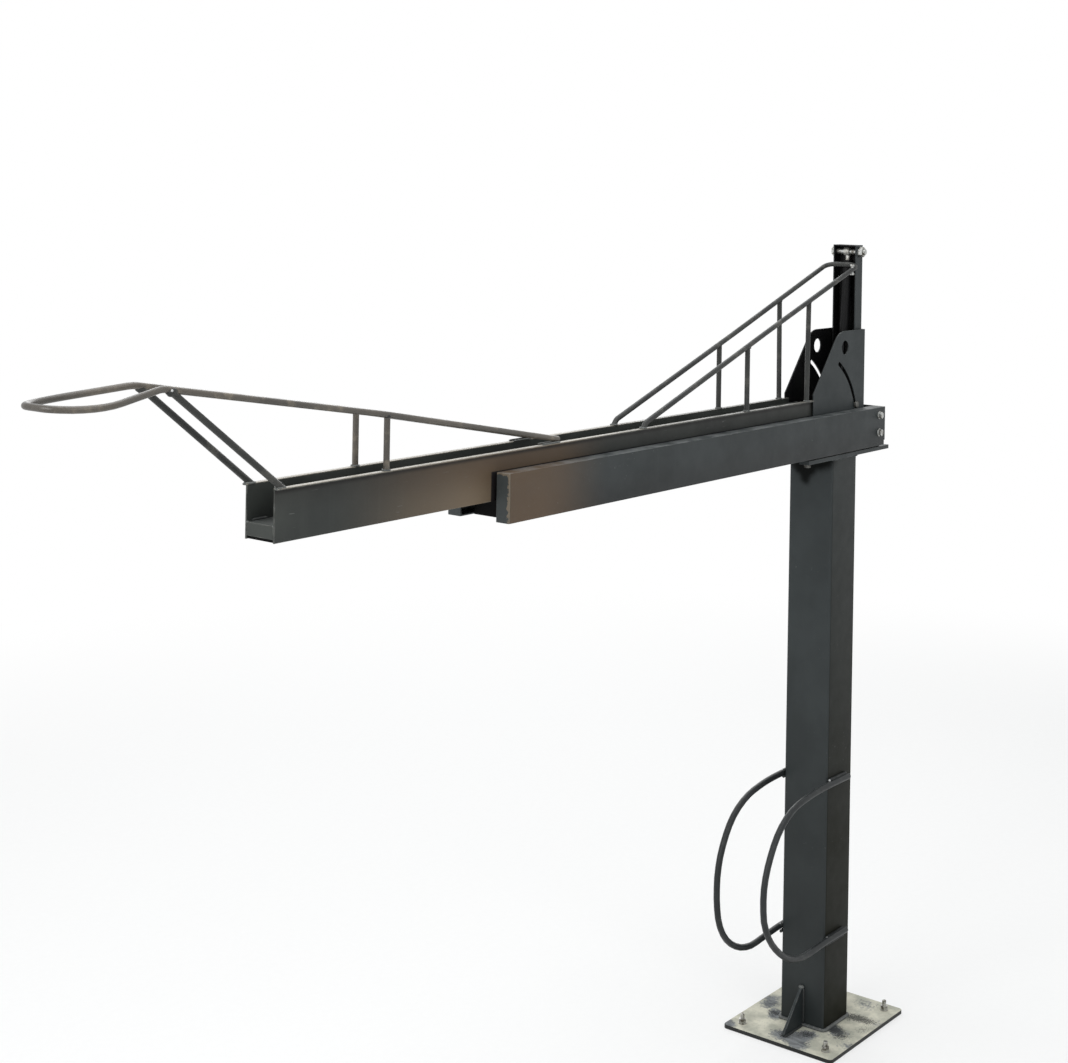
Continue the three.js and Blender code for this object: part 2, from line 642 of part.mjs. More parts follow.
function makeTrayWall(name, side) {
  const points = [[trayInner, trayBottom], [tray.outerHalf, trayBottom],
    [tray.outerHalf, lipTop - tray.sheet], [lipOuter, lipTop - tray.sheet], [lipOuter, lipTop],
    [trayInner, lipTop]];
  const sided = points.map(([y, z]) => [side * y, z]);
  const section = outline(side > 0 ? sided : sided.reverse());
  const wall = sectionAlong(section, tray.endX, tray.wallEndX);
  const lipFoot = side * (tray.outerHalf + touchGap / 2);
  const beyondLip = side * (lipOuter + cutOverrun);
  const lipEnd = boxSolid([tray.lipEndX, Math.min(lipFoot, beyondLip), trayBottom],
    [tray.wallEndX + cutOverrun, Math.max(lipFoot, beyondLip), lipTop + cutOverrun]);
  return named(name, wall.subtract(lipEnd), trayCoat);
}

// A box of sheet between the walls: its bottom starts a little way behind its end face
function makeTrayFloor() {
  const half = trayInner - touchGap;
  const s = tray.sheet;
  const whole = boxSolid([tray.endX, -half, trayBottom], [tray.floorEndX, half, trayFloorTop]);
  const inside = boxSolid([tray.endX + s, s - half, trayBottom + s],
    [tray.floorEndX + cutOverrun, half - s, trayFloorTop - s]);
  const underEnd = boxSolid([tray.endX - cutOverrun, -half - cutOverrun, trayBottom - cutOverrun],
    [tray.endX + tray.bottomSetBack, half + cutOverrun, trayFloorTop - tray.endFaceHeight]);
  return named('tray_floor', whole.subtract(inside).subtract(underEnd), trayCoat);
}

function makeSlideBlock() {
  const top = trayBottom - touchGap;
  const front = railFrontX + slideBlock.insideRails;
  const block = boxSolid([front, -slideBlock.halfWidth, top - slideBlock.height],
    [front + slideBlock.length, slideBlock.halfWidth, top]);
  return named('tray_guide_block', block, blackPlastic);
}

function makeTailArm(name, side) {
  const along = new THREE.Vector2(Math.cos(studAngle), Math.sin(studAngle));
  const across = new THREE.Vector2(-along.y, along.x);
  const boss = new THREE.Vector2(carriage.pivotX, axleZ);
  const end = new THREE.Vector2(studX, studZ);
  const corner = (base, reach) => {
    const point = base.clone().addScaledVector(across, reach);
    return [point.x, point.y];
  };
  const nearY = side > 0 ? armInner : -armOuter;
  const farY = side > 0 ? armOuter : -armInner;
  const barShape = outline([corner(boss, -tailArm.bossRadius), corner(end, -tailArm.endRadius),
    corner(end, tailArm.endRadius), corner(boss, tailArm.bossRadius)]);
  const tabTop = trayBottom + tailArm.weldBottom + tailArm.weldHeight;
  const tabShape = outline([
    [carriage.pivotX - tailArm.weldLength, trayBottom + tailArm.weldBottom],
    [carriage.pivotX - tailArm.bossRadius, trayBottom + tailArm.weldBottom],
    [carriage.pivotX, axleZ], [carriage.pivotX + tailArm.bossRadius, tabTop],
    [carriage.pivotX - tailArm.weldLength, tabTop]]);
  const blank = joined(
    plateAcross(barShape, nearY, farY), plateAcross(tabShape, nearY, farY),
    barSolid([boss.x, nearY, boss.y], [boss.x, farY, boss.y], tailArm.bossRadius, rollerSides),
    barSolid([end.x, nearY, end.y], [end.x, farY, end.y], tailArm.endRadius, rollerSides));
  const studHole = barSolid([studX, -railOuter, studZ], [studX, railOuter, studZ], tailStud.radius + runGap);
  return named(name, drilledForAxles(blank).subtract(studHole), trayCoat);
}

function makeTailStud(name, side) {
  const at = (y) => [studX, side * y, studZ];
  const headStart = plateOuter + touchGap;
  const nutStart = armInner - touchGap;
  const solid = joined(
    barSolid(at(nutStart - tailStud.nutHeight), at(headStart + tailStud.headHeight / 2), tailStud.radius),
    hexSolid(at(headStart), at(headStart + tailStud.headHeight), tailStud.across),
    hexSolid(at(nutStart), at(nutStart - tailStud.nutHeight), tailStud.across));
  return named(name, solid, zinc);
}

// Bent rods: the handle with its guards, braces and struts, and the front wheel holder

function guardCorners() {
  const footZ = lipTop + touchGap + trayRod.radius;
  const half = [
    [guard.footX, guard.footHalf, footZ],
    [guard.strutX, guard.strutHalf, lipTop + guard.strutRise],
    [guard.bendX, guard.bendHalf, lipTop + guard.bendRise],
    [handle.dipX, handle.dipHalf, lipTop + handle.dipRise],
    [handle.tipX, handle.tipHalf, lipTop + handle.tipRise]];
  const near = half.map(([x, y, z]) => [x, -y, z]);
  return [...near, ...half.reverse()];
}

function guardSolid(radius) {
  const radii = [guardRadii.knee, guardRadii.bend, guardRadii.dip, guardRadii.tip];
  return bentRod(guardCorners(), [...radii, ...radii.slice().reverse()], radius);
}

function makeHandle() {
  return named('handle_and_guards', guardSolid(trayRod.radius).subtract(belowLip()), trayCoat);
}

function guardHeightAt(x) {
  const share = (x - guard.strutX) / (guard.bendX - guard.strutX);
  return lipTop + guard.strutRise + share * (guard.bendRise - guard.strutRise);
}

function guardHalfAt(x) {
  const share = (x - guard.strutX) / (guard.bendX - guard.strutX);
  return guard.strutHalf + share * (guard.bendHalf - guard.strutHalf);
}

function makeBrace(name, side) {
  const top = [brace.topX, side * guardHalfAt(brace.topX), guardHeightAt(brace.topX)];
  const foot = [brace.footX, side * guard.strutHalf, lipTop];
  const reach = [0, 1, 2].map((i) => foot[i] + (foot[i] - top[i]) * (trayRod.radius / (top[2] - foot[2])));
  const rod = barSolid(top, reach, trayRod.radius, rodSides);
  return named(name, rod.subtract(guardSolid(trayRod.radius + touchGap)).subtract(belowLip()), trayCoat);
}

function makeGuardStrut(name, side) {
  const at = (z) => [guard.strutX, side * guard.strutHalf, z];
  const rod = barSolid(at(lipTop), at(lipTop + guard.strutRise), trayRod.radius, rodSides);
  return named(name, rod.subtract(guardSolid(trayRod.radius + touchGap)).subtract(belowLip()), trayCoat);
}

function holderSolid(radius) {
  const half = [
    [holder.footX, holder.footHalf, lipTop - trayRod.radius],
    [holder.kneeX, holder.footHalf, lipTop + holder.kneeRise],
    [holder.splayX, holder.footHalf, holderHeightAt(holder.splayX)],
    [holder.endX, holder.endHalf, lipTop + holder.endRise]];
  const near = half.map(([x, y, z]) => [x, -y, z]);
  const radii = [holder.kneeRadius, holder.splayRadius, holder.endRadius];
  return bentRod([...near, ...half.reverse()], [...radii, ...radii.slice().reverse()], radius);
}

function holderHeightAt(x) {
  const share = (x - holder.kneeX) / (holder.endX - holder.kneeX);
  return lipTop + holder.kneeRise + share * (holder.endRise - holder.kneeRise);
}

// The two sides run between the rails when the tray tips, so they spread only behind that part
function holderHalfAt(x) {
  const share = Math.max(0, (x - holder.splayX) / (holder.endX - holder.splayX));
  return holder.footHalf + share * (holder.endHalf - holder.footHalf);
}

function makeHolder() {
  const at = (z) => [markerBolt.x, -holderHalfAt(markerBolt.x), z];
  const middle = holderHeightAt(markerBolt.x);
  const bore = barSolid(at(middle - cutOverrun), at(middle + cutOverrun), markerBolt.radius + runGap);
  const rod = holderSolid(trayRod.radius).subtract(belowLip());
  return named('front_wheel_holder', rod.subtract(bore), trayCoat);
}

function makeHolderStrut(name, x, side) {
  const foot = [x, side * holder.footHalf, lipTop];
  const rod = barSolid(foot, [x, side * holderHalfAt(x), holderHeightAt(x)], trayRod.radius, rodSides);
  return named(name, rod.subtract(holderSolid(trayRod.radius + touchGap)).subtract(belowLip()), trayCoat);
}

function makeMarkerBolt() {
  const at = (z) => [markerBolt.x, -holderHalfAt(markerBolt.x), z];
  const middle = holderHeightAt(markerBolt.x);
  const slope = (holder.endRise - holder.kneeRise) / (holder.endX - holder.kneeX);
  const clear = trayRod.radius * Math.hypot(1, slope) + markerBolt.headRadius * slope + touchGap;
  const solid = joined(
    barSolid(at(middle - clear - markerBolt.headHeight), at(middle + clear + markerBolt.headHeight / 2),
      markerBolt.radius),
    barSolid(at(middle + clear), at(middle + clear + markerBolt.headHeight), markerBolt.headRadius),
    hexSolid(at(middle - clear - markerBolt.headHeight), at(middle - clear), 2 * markerBolt.headRadius));
  return named('holder_end_bolt', solid, zinc);
}

// The whole rack, grouped by what moves together

const sides = [['near', -1], ['far', 1]];

function makeStand() {
  const stand = new THREE.Group();
  stand.add(makeBasePlate(), makePost(), makeGusset('gusset_front', -1), makeGusset('gusset_rear', 1));
  stand.add(makeTopPlate(), makeRearStop());
  for (const [word, side] of sides) {
    stand.add(makeAnchor(`anchor_front_${word}`, -1, side), makeAnchor(`anchor_rear_${word}`, 1, side));
    stand.add(makeLowHoop(`lower_hoop_${word}`, side), makePacker(`rail_packer_${word}`, side));
    stand.add(makeRail(`rail_${word}`, side), makeRailCap(`rail_cap_${word}`, side));
    stand.add(makeEndBolt(`rail_end_bolt_${word}_upper`, side, endBoltZ[0]));
    stand.add(makeEndBolt(`rail_end_bolt_${word}_lower`, side, endBoltZ[1]));
    stand.add(makeRailBolt(`rail_bolt_${word}`, railBoltX[0], side * railBolt.offCentreY));
    stand.add(makeRailStud(`rail_stud_${word}`, railBoltX[1], side * railBolt.offCentreY));
  }
  return stand;
}

function makeCarriage() {
  const group = new THREE.Group();
  group.add(makeBracket(), makeUpright(), makeUprightCap(), makeSpringBolt(), makeSpringNut());
  group.add(makeAxle('pivot_axle', carriage.pivotX), makeAxle('rear_axle', carriage.rearAxleX));
  for (const [word, side] of sides) {
    group.add(makeSpacerRing(`pivot_spacer_${word}`, side));
    group.add(makeRoller(`front_roller_${word}`, carriage.pivotX, side));
    group.add(makeRoller(`rear_roller_${word}`, carriage.rearAxleX, side));
  }
  return group;
}

function makeTray() {
  const group = new THREE.Group();
  group.add(makeTrayFloor(), makeSlideBlock(), makeHandle(), makeHolder(), makeMarkerBolt());
  for (const [word, side] of sides) {
    group.add(makeTrayWall(`tray_wall_${word}`, side), makeTailArm(`tail_arm_${word}`, side));
    group.add(makeTailStud(`tail_stud_${word}`, side), makeBrace(`handle_brace_${word}`, side));
    group.add(makeGuardStrut(`guard_strut_${word}`, side));
    group.add(makeHolderStrut(`holder_strut_front_${word}`, holderStrutX[0], side));
    group.add(makeHolderStrut(`holder_strut_rear_${word}`, holderStrutX[1], side));
  }
  return group;
}

const rack = new THREE.Group();
rack.add(makeStand(), makeCarriage(), makeTray(), makeSpringBody(), makeSpringRod());

export default rack;
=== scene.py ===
# %% [markdown]
# # Dressing an upper tier bicycle rack
# The rack is steel: a square post on a bolted base plate carries two fixed rails. A carriage on rollers runs
# between them and holds a wheel tray, which can be pulled out and tipped down. All the solids come from the packed
# model and stay where they are. This lesson gives them their finishes, softens their sheet edges, and lays the
# weld beads that hold the real rack together.

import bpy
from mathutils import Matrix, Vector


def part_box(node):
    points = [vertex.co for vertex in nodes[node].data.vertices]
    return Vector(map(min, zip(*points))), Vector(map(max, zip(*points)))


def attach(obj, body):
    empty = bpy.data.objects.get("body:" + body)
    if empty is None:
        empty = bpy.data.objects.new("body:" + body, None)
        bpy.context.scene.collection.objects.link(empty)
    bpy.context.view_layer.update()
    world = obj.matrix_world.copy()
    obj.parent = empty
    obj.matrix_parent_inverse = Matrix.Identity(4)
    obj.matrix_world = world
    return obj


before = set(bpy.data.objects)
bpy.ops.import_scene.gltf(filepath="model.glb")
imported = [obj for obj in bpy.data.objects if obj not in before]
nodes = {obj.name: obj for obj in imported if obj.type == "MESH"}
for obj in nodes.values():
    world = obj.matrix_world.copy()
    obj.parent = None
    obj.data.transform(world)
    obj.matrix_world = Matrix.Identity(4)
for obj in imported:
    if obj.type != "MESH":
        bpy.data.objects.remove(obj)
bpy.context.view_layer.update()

# %% Modules
import math
import random

import bmesh
import bpy
from mathutils import Matrix, Vector, noise

# %% [markdown]
# ## The camera
# The picture that the rack follows was taken from a little above the tray, looking along it from the handle's side.
# Its place and its three turns were solved from the rack's own straight edges, so they are written as numbers. The
# picture was cut off-centre, and a vertical lens shift says so without tilting the camera.

# %% Camera
photo_width = 1068
photo_height = 1063
focal_pixels = 1896.531
horizon_row = 168.761
camera_place = Vector((-3.519783, -1.980358, 1.765188))
camera_yaw = 0.9044384
camera_pitch = -0.0033261
camera_roll = -0.0174067
sensor_width = 36


def camera_axes():
    forward = Vector((
        math.sin(camera_yaw) * math.cos(camera_pitch),
        math.cos(camera_yaw) * math.cos(camera_pitch),
        -math.sin(camera_pitch),
    ))
    level = Vector((math.cos(camera_yaw), -math.sin(camera_yaw), 0))
    plumb = forward.cross(level)
    right = level * math.cos(camera_roll) + plumb * math.sin(camera_roll)
    down = plumb * math.cos(camera_roll) - level * math.sin(camera_roll)
    return right, down, forward


def add_camera():
    lens = bpy.data.cameras.new("camera")
    lens.sensor_width = sensor_width
    lens.lens = focal_pixels * sensor_width / photo_width
    lens.shift_y = (horizon_row - photo_height / 2) / photo_width
    lens.clip_start = 0.05
    lens.clip_end = 60
    holder = bpy.data.objects.new("camera", lens)
    bpy.context.scene.collection.objects.link(holder)
    right, down, forward = camera_axes()
    turn = Matrix((right, -down, -forward)).transposed().to_4x4()
    holder.matrix_world = Matrix.Translation(camera_place) @ turn
    return holder


camera = add_camera()
bpy.context.scene.camera = camera
print("focal length", round(camera.data.lens, 2), "mm, shift", round(camera.data.shift_y, 4))

# %% [markdown]
# ## Nodes in few words
# A finish is a tree of shader nodes. It could be wired by hand in the editor, but here the same few steps come
# back in every finish: take a place on the object, read a grain there, turn it into a share, and lay one paint
# over another by that share. Each step gets a small function, so that a finish reads like a recipe.

# %% Paint values
def paint(red, green, blue):
    """A colour as on a paint card, 0 to 255, turned into the linear values that a shader takes."""
    def linear(value):
        share = value / 255
        return share / 12.92 if share <= 0.04045 else ((share + 0.055) / 1.055) ** 2.4

    return linear(red), linear(green), linear(blue), 1


print("anthracite grey is", [round(v, 3) for v in paint(56, 61, 63)])


# %% Start a finish and put nodes in it
def feed(tree, node, inputs):
    """Link each socket that is given, and write each plain value into its input."""
    for key, value in inputs.items():
        if isinstance(value, bpy.types.NodeSocket):
            tree.links.new(value, node.inputs[key])
        else:
            node.inputs[key].default_value = value


def put(tree, kind, inputs, **settings):
    node = tree.nodes.new("ShaderNode" + kind)
    for key, value in settings.items():
        setattr(node, key, value)
    feed(tree, node, inputs)
    return node


def start_finish(name):
    """A new material with its tree, its main shader, and the place on the object that its grains are read at."""
    finish = bpy.data.materials.new(name)
    finish.use_nodes = True
    tree = finish.node_tree
    return finish, tree, tree.nodes["Principled BSDF"], put(tree, "TexCoord", {}).outputs["Object"]


# %% Grains and shares
def stretched(tree, place, scale):
    return put(tree, "Mapping", {"Vector": place, "Scale": scale}).outputs["Vector"]


def grain(tree, place, per_metre, detail=3.0, roughness=0.55, twist=0.0):
    inputs = {"Vector": place, "Scale": per_metre, "Detail": detail, "Roughness": roughness, "Distortion": twist}
    return put(tree, "TexNoise", inputs).outputs[0]


def rise(tree, value, low, high):
    inputs = {"Value": value, "From Min": low, "From Max": high}
    return put(tree, "MapRange", inputs, interpolation_type="SMOOTHSTEP").outputs[0]


def spread(tree, share, low, high):
    """A share of 0 to 1 turned into a value between two others."""
    return put(tree, "MapRange", {"Value": share, "To Min": low, "To Max": high}).outputs[0]


# %% Sums and layers
def sum_up(tree, operation, first, second):
    return put(tree, "Math", {0: first, 1: second}, operation=operation).outputs[0]


def centred(tree, share):
    """A grain moved down by a half, so that it adds and takes away in equal parts."""
    return sum_up(tree, "SUBTRACT", share, 0.5)


def times(tree, *shares):
    product = shares[0]
    for share in shares[1:]:
        product = sum_up(tree, "MULTIPLY", product, share)
    return product


def layer(tree, share, under, over):
    return put(tree, "Mix", {0: share, 6: under, 7: over}, data_type="RGBA").outputs[2]


def parts_of(tree, place):
    return put(tree, "SeparateXYZ", {"Vector": place}).outputs


def size_of(tree, value):
    return put(tree, "Math", {0: value}, operation="ABSOLUTE").outputs[0]


def marks(tree, place, spots):
    """How much each of a list of round marks, given by centre, reach and strength, covers a place."""
    total = None
    for centre, reach, strength in spots:
        offset = put(tree, "VectorMath", {0: place, 1: centre}, operation="DISTANCE").outputs["Value"]
        mark = times(tree, rise(tree, offset, reach, 0.0), strength)
        total = mark if total is None else sum_up(tree, "ADD", total, mark)
    return total


# %% Relief, and pale edges for wear and painted highlight
def relief(tree, height, depth, strength=1.0, under=None):
    inputs = {"Height": height, "Distance": depth, "Strength": strength}
    if under is not None:
        inputs["Normal"] = under
    return put(tree, "Bump", inputs).outputs["Normal"]


def edge_share(tree, width):
    """1 on an edge of the sheet and 0 on its flats, read from how far a rounded normal leans from the flat one."""
    rounded = put(tree, "Bevel", {"Radius": width}, samples=4).outputs["Normal"]
    flat = put(tree, "NewGeometry", {}).outputs["True Normal"]
    agreement = put(tree, "VectorMath", {0: rounded, 1: flat}, operation="DOT_PRODUCT").outputs["Value"]
    return rise(tree, agreement, 0.985, 0.80)


def upward_share(tree):
    flat = put(tree, "NewGeometry", {}).outputs["True Normal"]
    return rise(tree, parts_of(tree, flat)["Z"], 0.75, 0.95)


# %% [markdown]
# ## Floor, backdrop and light
# The rack stands on a plain white ground, as in a catalogue picture. Only rays from the camera, and those that a
# gloss mirrors, see a white world: the light that falls on the steel is softer, so the paint shows about as it is
# written. The floor is part light of its own and part plain surface, so it is white and still takes the shadow.

# %% White world
white_seen = 1.0
soft_light = 0.52


def white_rays(tree):
    path = put(tree, "LightPath", {}).outputs
    seen = sum_up(tree, "MAXIMUM", path["Is Camera Ray"], path["Is Glossy Ray"])
    return sum_up(tree, "MAXIMUM", seen, path["Is Transmission Ray"])


def make_world():
    world = bpy.data.worlds.new("white_world")
    world.use_nodes = True
    tree = world.node_tree
    backdrop = put(tree, "Background", {"Color": (1, 1, 1, 1), "Strength": white_seen}).outputs[0]
    light = put(tree, "Background", {"Color": (0.95, 0.98, 1, 1), "Strength": soft_light}).outputs[0]
    both = put(tree, "MixShader", {0: white_rays(tree), 1: light, 2: backdrop}).outputs[0]
    tree.links.new(both, tree.nodes["World Output"].inputs["Surface"])
    bpy.context.scene.world = world
    return world


make_world()
bpy.context.scene.view_settings.view_transform = "Standard"
print("view transform", bpy.context.scene.view_settings.view_transform)

# %% Floor
floor_half = 14.0
shadow_reach = (2.2, 4.2)


def floor_finish():
    finish, tree, shader, place = start_finish("pale_floor")
    speckle = grain(tree, place, 60, 4)
    colour = layer(tree, speckle, paint(240, 240, 239), paint(247, 247, 246))
    feed(tree, shader, {"Base Color": colour, "Roughness": 0.95, "Specular IOR Level": 0.1})
    glow = put(tree, "Emission", {"Color": (1, 1, 1, 1), "Strength": white_seen}).outputs[0]
    distance = put(tree, "VectorMath", {0: place}, operation="LENGTH").outputs["Value"]
    away = rise(tree, distance, *shadow_reach)
    glow_share = spread(tree, away, 0.52, 1.0)
    mixed = put(tree, "MixShader", {0: glow_share, 1: shader.outputs[0], 2: glow}).outputs[0]
    shown = put(tree, "MixShader", {0: white_rays(tree), 1: shader.outputs[0], 2: mixed}).outputs[0]
    tree.links.new(shown, tree.nodes["Material Output"].inputs["Surface"])
    return finish


def make_floor():
    mesh = bpy.data.meshes.new("floor")
    corners = [(x * floor_half, y * floor_half, 0) for x, y in ((-1, -1), (1, -1), (1, 1), (-1, 1))]
    mesh.from_pydata(corners, [], [(0, 1, 2, 3)])
    mesh.materials.append(floor_finish())
    floor = bpy.data.objects.new("floor", mesh)
    bpy.context.scene.collection.objects.link(floor)
    return floor


make_floor()
print("floor", 2 * floor_half, "m wide")

# %% Lamps
lamps = {
    "near_softbox": {"place": (-2.2, -3.6, 3.6), "size": 3.2, "power": 44},
    "front_softbox": {"place": (-4.6, 0.4, 2.6), "size": 2.6, "power": 66},
    "top_softbox": {"place": (-0.8, 0.2, 4.4), "size": 3.0, "power": 66},
    "back_softbox": {"place": (2.6, 3.2, 2.8), "size": 3.0, "power": 52},
}
lamp_target = Vector((-0.5, 0, 0.9))


def add_lamp(name, place, size, power):
    lamp = bpy.data.lights.new(name, "AREA")
    lamp.shape = "SQUARE"
    lamp.size = size
    lamp.energy = power
    holder = bpy.data.objects.new(name, lamp)
    bpy.context.scene.collection.objects.link(holder)
    holder.location = place
    holder.rotation_euler = (lamp_target - Vector(place)).to_track_quat("-Z", "Y").to_euler()


for lamp_name, facts in lamps.items():
    add_lamp(lamp_name, **facts)
print(len(lamps), "lamps,", sum(facts["power"] for facts in lamps.values()), "W")

# %% [markdown]
# ## The stand's paint
# The stand is powder coated in anthracite grey. Powder melts into a fine orange peel, not a mirror, and years in the
# street leave it a little uneven: broad cloudy patches, fine vertical streaks where rain ran, pale edges that are
# partly worn paint and partly painted highlight, and a few chips. A flat colour would look like plastic, so each of
# these is one thin layer over the last.

# %% Coat layers
def coat_colour(tree, place, deep, pale):
    clouds = rise(tree, grain(tree, place, 7, 3), 0.36, 0.66)
    colour = layer(tree, clouds, deep, pale)
    streaks = rise(tree, grain(tree, stretched(tree, place, (1, 1, 0.05)), 70, 3), 0.50, 0.72)
    colour = layer(tree, times(tree, streaks, 0.30), colour, pale)
    pores = rise(tree, grain(tree, place, 900, 1), 0.58, 0.75)
    return layer(tree, times(tree, pores, 0.16), colour, paint(26, 29, 30))


# Pale edges: partly worn paint and partly painted highlight along the folds.
def edge_wear_and_highlight(tree, place, colour, pale_worn_and_lit, amount, width=0.0022):
    patches = rise(tree, grain(tree, place, 55, 4), 0.38, 0.60)
    share = times(tree, edge_share(tree, width), patches, amount)
    return layer(tree, share, colour, pale_worn_and_lit)


def chips(tree, place, colour, pale_worn_and_lit):
    spots = rise(tree, grain(tree, place, 240, 2), 0.70, 0.74)
    fields = rise(tree, grain(tree, place, 6, 2), 0.52, 0.66)
    return layer(tree, times(tree, spots, fields, 0.40), colour, pale_worn_and_lit)


def settled_dust(tree, place, colour, dust, amount):
    patches = rise(tree, grain(tree, place, 22, 5), 0.30, 0.70)
    return layer(tree, times(tree, upward_share(tree), patches, amount), colour, dust)


def coat_surface(tree, place, shader, colour, gloss=0.46, shine=0.25):
    peel = relief(tree, grain(tree, place, 520, 2), 0.00012, 0.5)
    feed(tree, shader, {
        "Base Color": colour,
        "Roughness": spread(tree, grain(tree, place, 40, 4), gloss - 0.08, gloss + 0.14),
        "Normal": relief(tree, grain(tree, place, 18, 2), 0.0010, 0.10, peel),
        "Specular IOR Level": shine,
    })


# %% Warm painted reflection
warm_reflection_colour = paint(94, 77, 60)
warm_reflection_levels = (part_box("tray_wall_near")[0].z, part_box("tray_wall_near")[1].z - 0.012)
near_side = (-0.026, -0.0295)
print("film between", [round(level, 4) for level in warm_reflection_levels])


def warm_painted_reflection(tree, place, colour, start, full, fade, end, low_colour=warm_reflection_colour):
    """The warm brown reflection painted on the near side in its middle, between two places along the tray."""
    x, y, z = parts_of(tree, place)
    reflection_tone = layer(tree, rise(tree, z, warm_reflection_levels[1], warm_reflection_levels[0]), warm_reflection_colour, low_colour)
    inside = times(tree, rise(tree, x, start, full), rise(tree, x, end, fade), rise(tree, y, *near_side))
    uneven = spread(tree, grain(tree, place, 10, 4), 0.72, 1.08)
    return layer(tree, times(tree, inside, uneven, 0.95), colour, reflection_tone)


# %% Painted shade on the post, a darker rail side, and painted light at the rail caps
rail_low, rail_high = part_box("rail_near")
rail_front, rail_side, rail_top = rail_low.x, rail_low.y, rail_high.z
post_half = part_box("post")[1].x
post_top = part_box("post")[1].z
head_shade = [
    ((-post_half, 0.036, post_top), 0.046, 0.90),
    ((-post_half, 0.012, post_top), 0.052, 1.00),
    ((-post_half, -0.014, post_top), 0.048, 0.95),
    ((-post_half, -0.038, post_top), 0.040, 0.75),
    ((-post_half, 0.014, post_top - 0.032), 0.034, 0.90),
    ((-post_half, 0.012, post_top - 0.052), 0.022, 0.50),
]
near_side_levels = {"From Min": 1.25, "From Max": 0.40}
print("rail front", round(rail_front, 4), "top", round(rail_top, 4), "side", round(rail_side, 4))


def near_side_shade(tree, place):
    """How much painted shade and ground reflection, a dark olive, lies on the post's near face: little at the top,
    all over at the foot.
    """
    _, y, z = parts_of(tree, place)
    low = put(tree, "MapRange", {"Value": z, **near_side_levels, "To Min": 0.25, "To Max": 1.0}).outputs[0]
    uneven = spread(tree, grain(tree, place, 9, 4), 0.80, 1.10)
    return times(tree, low, uneven, rise(tree, y, -post_half + 0.0010, -post_half + 0.0002))


# Painted shade: how dark the post's front face is painted just under the top plate.
def painted_shade_under_plate(tree, place):
    uneven = times(tree, centred(tree, grain(tree, place, 60, 4)), 0.6)
    return rise(tree, sum_up(tree, "ADD", marks(tree, place, head_shade), uneven), 0.05, 1.10)


def post_darkening(tree, place, colour):
    """The post is painted darker towards its foot, its near face carries painted shade and ground reflection, and
    under the plate the front face is painted black as painted shade.
    """
    # The post is painted darker towards its foot.
    toward_foot = times(tree, rise(tree, parts_of(tree, place)["Z"], 1.00, 0.25), 0.42)
    colour = layer(tree, toward_foot, colour, paint(30, 33, 32))
    # Painted shade and ground reflection on the post's near face.
    colour = layer(tree, times(tree, near_side_shade(tree, place), 0.92), colour, paint(27, 27, 19))
    return layer(tree, times(tree, painted_shade_under_plate(tree, place), 0.95), colour, paint(8, 10, 8))


def rail_side_darker_below(tree, place, colour):
    """The near rail's outer side is a little darker toward its bottom."""
    _, y, z = parts_of(tree, place)
    outer = rise(tree, y, rail_side + 0.0015, rail_side + 0.0008)
    lower = rise(tree, z, rail_top - 0.020, rail_top - 0.075)
    return layer(tree, times(tree, outer, lower, 0.55), colour, paint(30, 32, 32))


def cap_painted_light(tree, place, colour):
    """The cap's end face is painted a lighter blue grey as painted light, and the painted warm reflection shows on
    it only as a ragged border along the outer side and the top.
    """
    x, y, z = parts_of(tree, place)
    cap_zone = rise(tree, x, rail_front + 0.0001, rail_front - 0.0001)
    ragged = centred(tree, grain(tree, place, 160, 4))
    side_line = sum_up(tree, "ADD", y, times(tree, ragged, 0.016))
    top_line = sum_up(tree, "ADD", z, times(tree, ragged, 0.010))
    side = rise(tree, side_line, rail_side + 0.0040, rail_side + 0.0026)
    top = rise(tree, top_line, rail_top - 0.0040, rail_top - 0.0022)
    colour = layer(tree, times(tree, cap_zone, 0.70), colour, paint(64, 68, 68))
    return layer(tree, times(tree, cap_zone, sum_up(tree, "MAXIMUM", side, top), 0.85), colour, paint(122, 110, 94))


# %% Stand coat
anthracite_deep = paint(41, 46, 47)
anthracite_pale = paint(50, 55, 56)
worn_steel_and_highlight = paint(118, 120, 118)
pale_dust = paint(138, 141, 141)
rail_reflection_span = (rail_front - 0.0001, rail_front + 0.0001, -1.06, -0.85)


def post_coat():
    finish, tree, shader, place = start_finish("post_powder_coat")
    colour = coat_colour(tree, place, anthracite_deep, anthracite_pale)
    colour = post_darkening(tree, place, colour)
    colour = edge_wear_and_highlight(tree, place, colour, worn_steel_and_highlight, 0.35)
    colour = chips(tree, place, colour, worn_steel_and_highlight)
    coat_surface(tree, place, shader, colour)
    dull = spread(tree, near_side_shade(tree, place), 0.25, 0.07)
    # Painted shade under the plate also takes the shine off the front face there.
    unshaded_shine = spread(tree, painted_shade_under_plate(tree, place), 1.0, 0.25)
    feed(tree, shader, {"Specular IOR Level": times(tree, dull, unshaded_shine)})
    return finish


def stand_coat(name, pale_edge_share, pale_edge_width):
    finish, tree, shader, place = start_finish(name)
    colour = coat_colour(tree, place, anthracite_deep, anthracite_pale)
    colour = rail_side_darker_below(tree, place, colour)
    # Painted warm reflection on the rail's near side.
    colour = warm_painted_reflection(tree, place, colour, *rail_reflection_span)
    colour = cap_painted_light(tree, place, colour)
    colour = edge_wear_and_highlight(tree, place, colour, worn_steel_and_highlight, pale_edge_share, pale_edge_width)
    colour = chips(tree, place, colour, worn_steel_and_highlight)
    colour = settled_dust(tree, place, colour, pale_dust, 0.42)
    coat_surface(tree, place, shader, colour)
    return finish


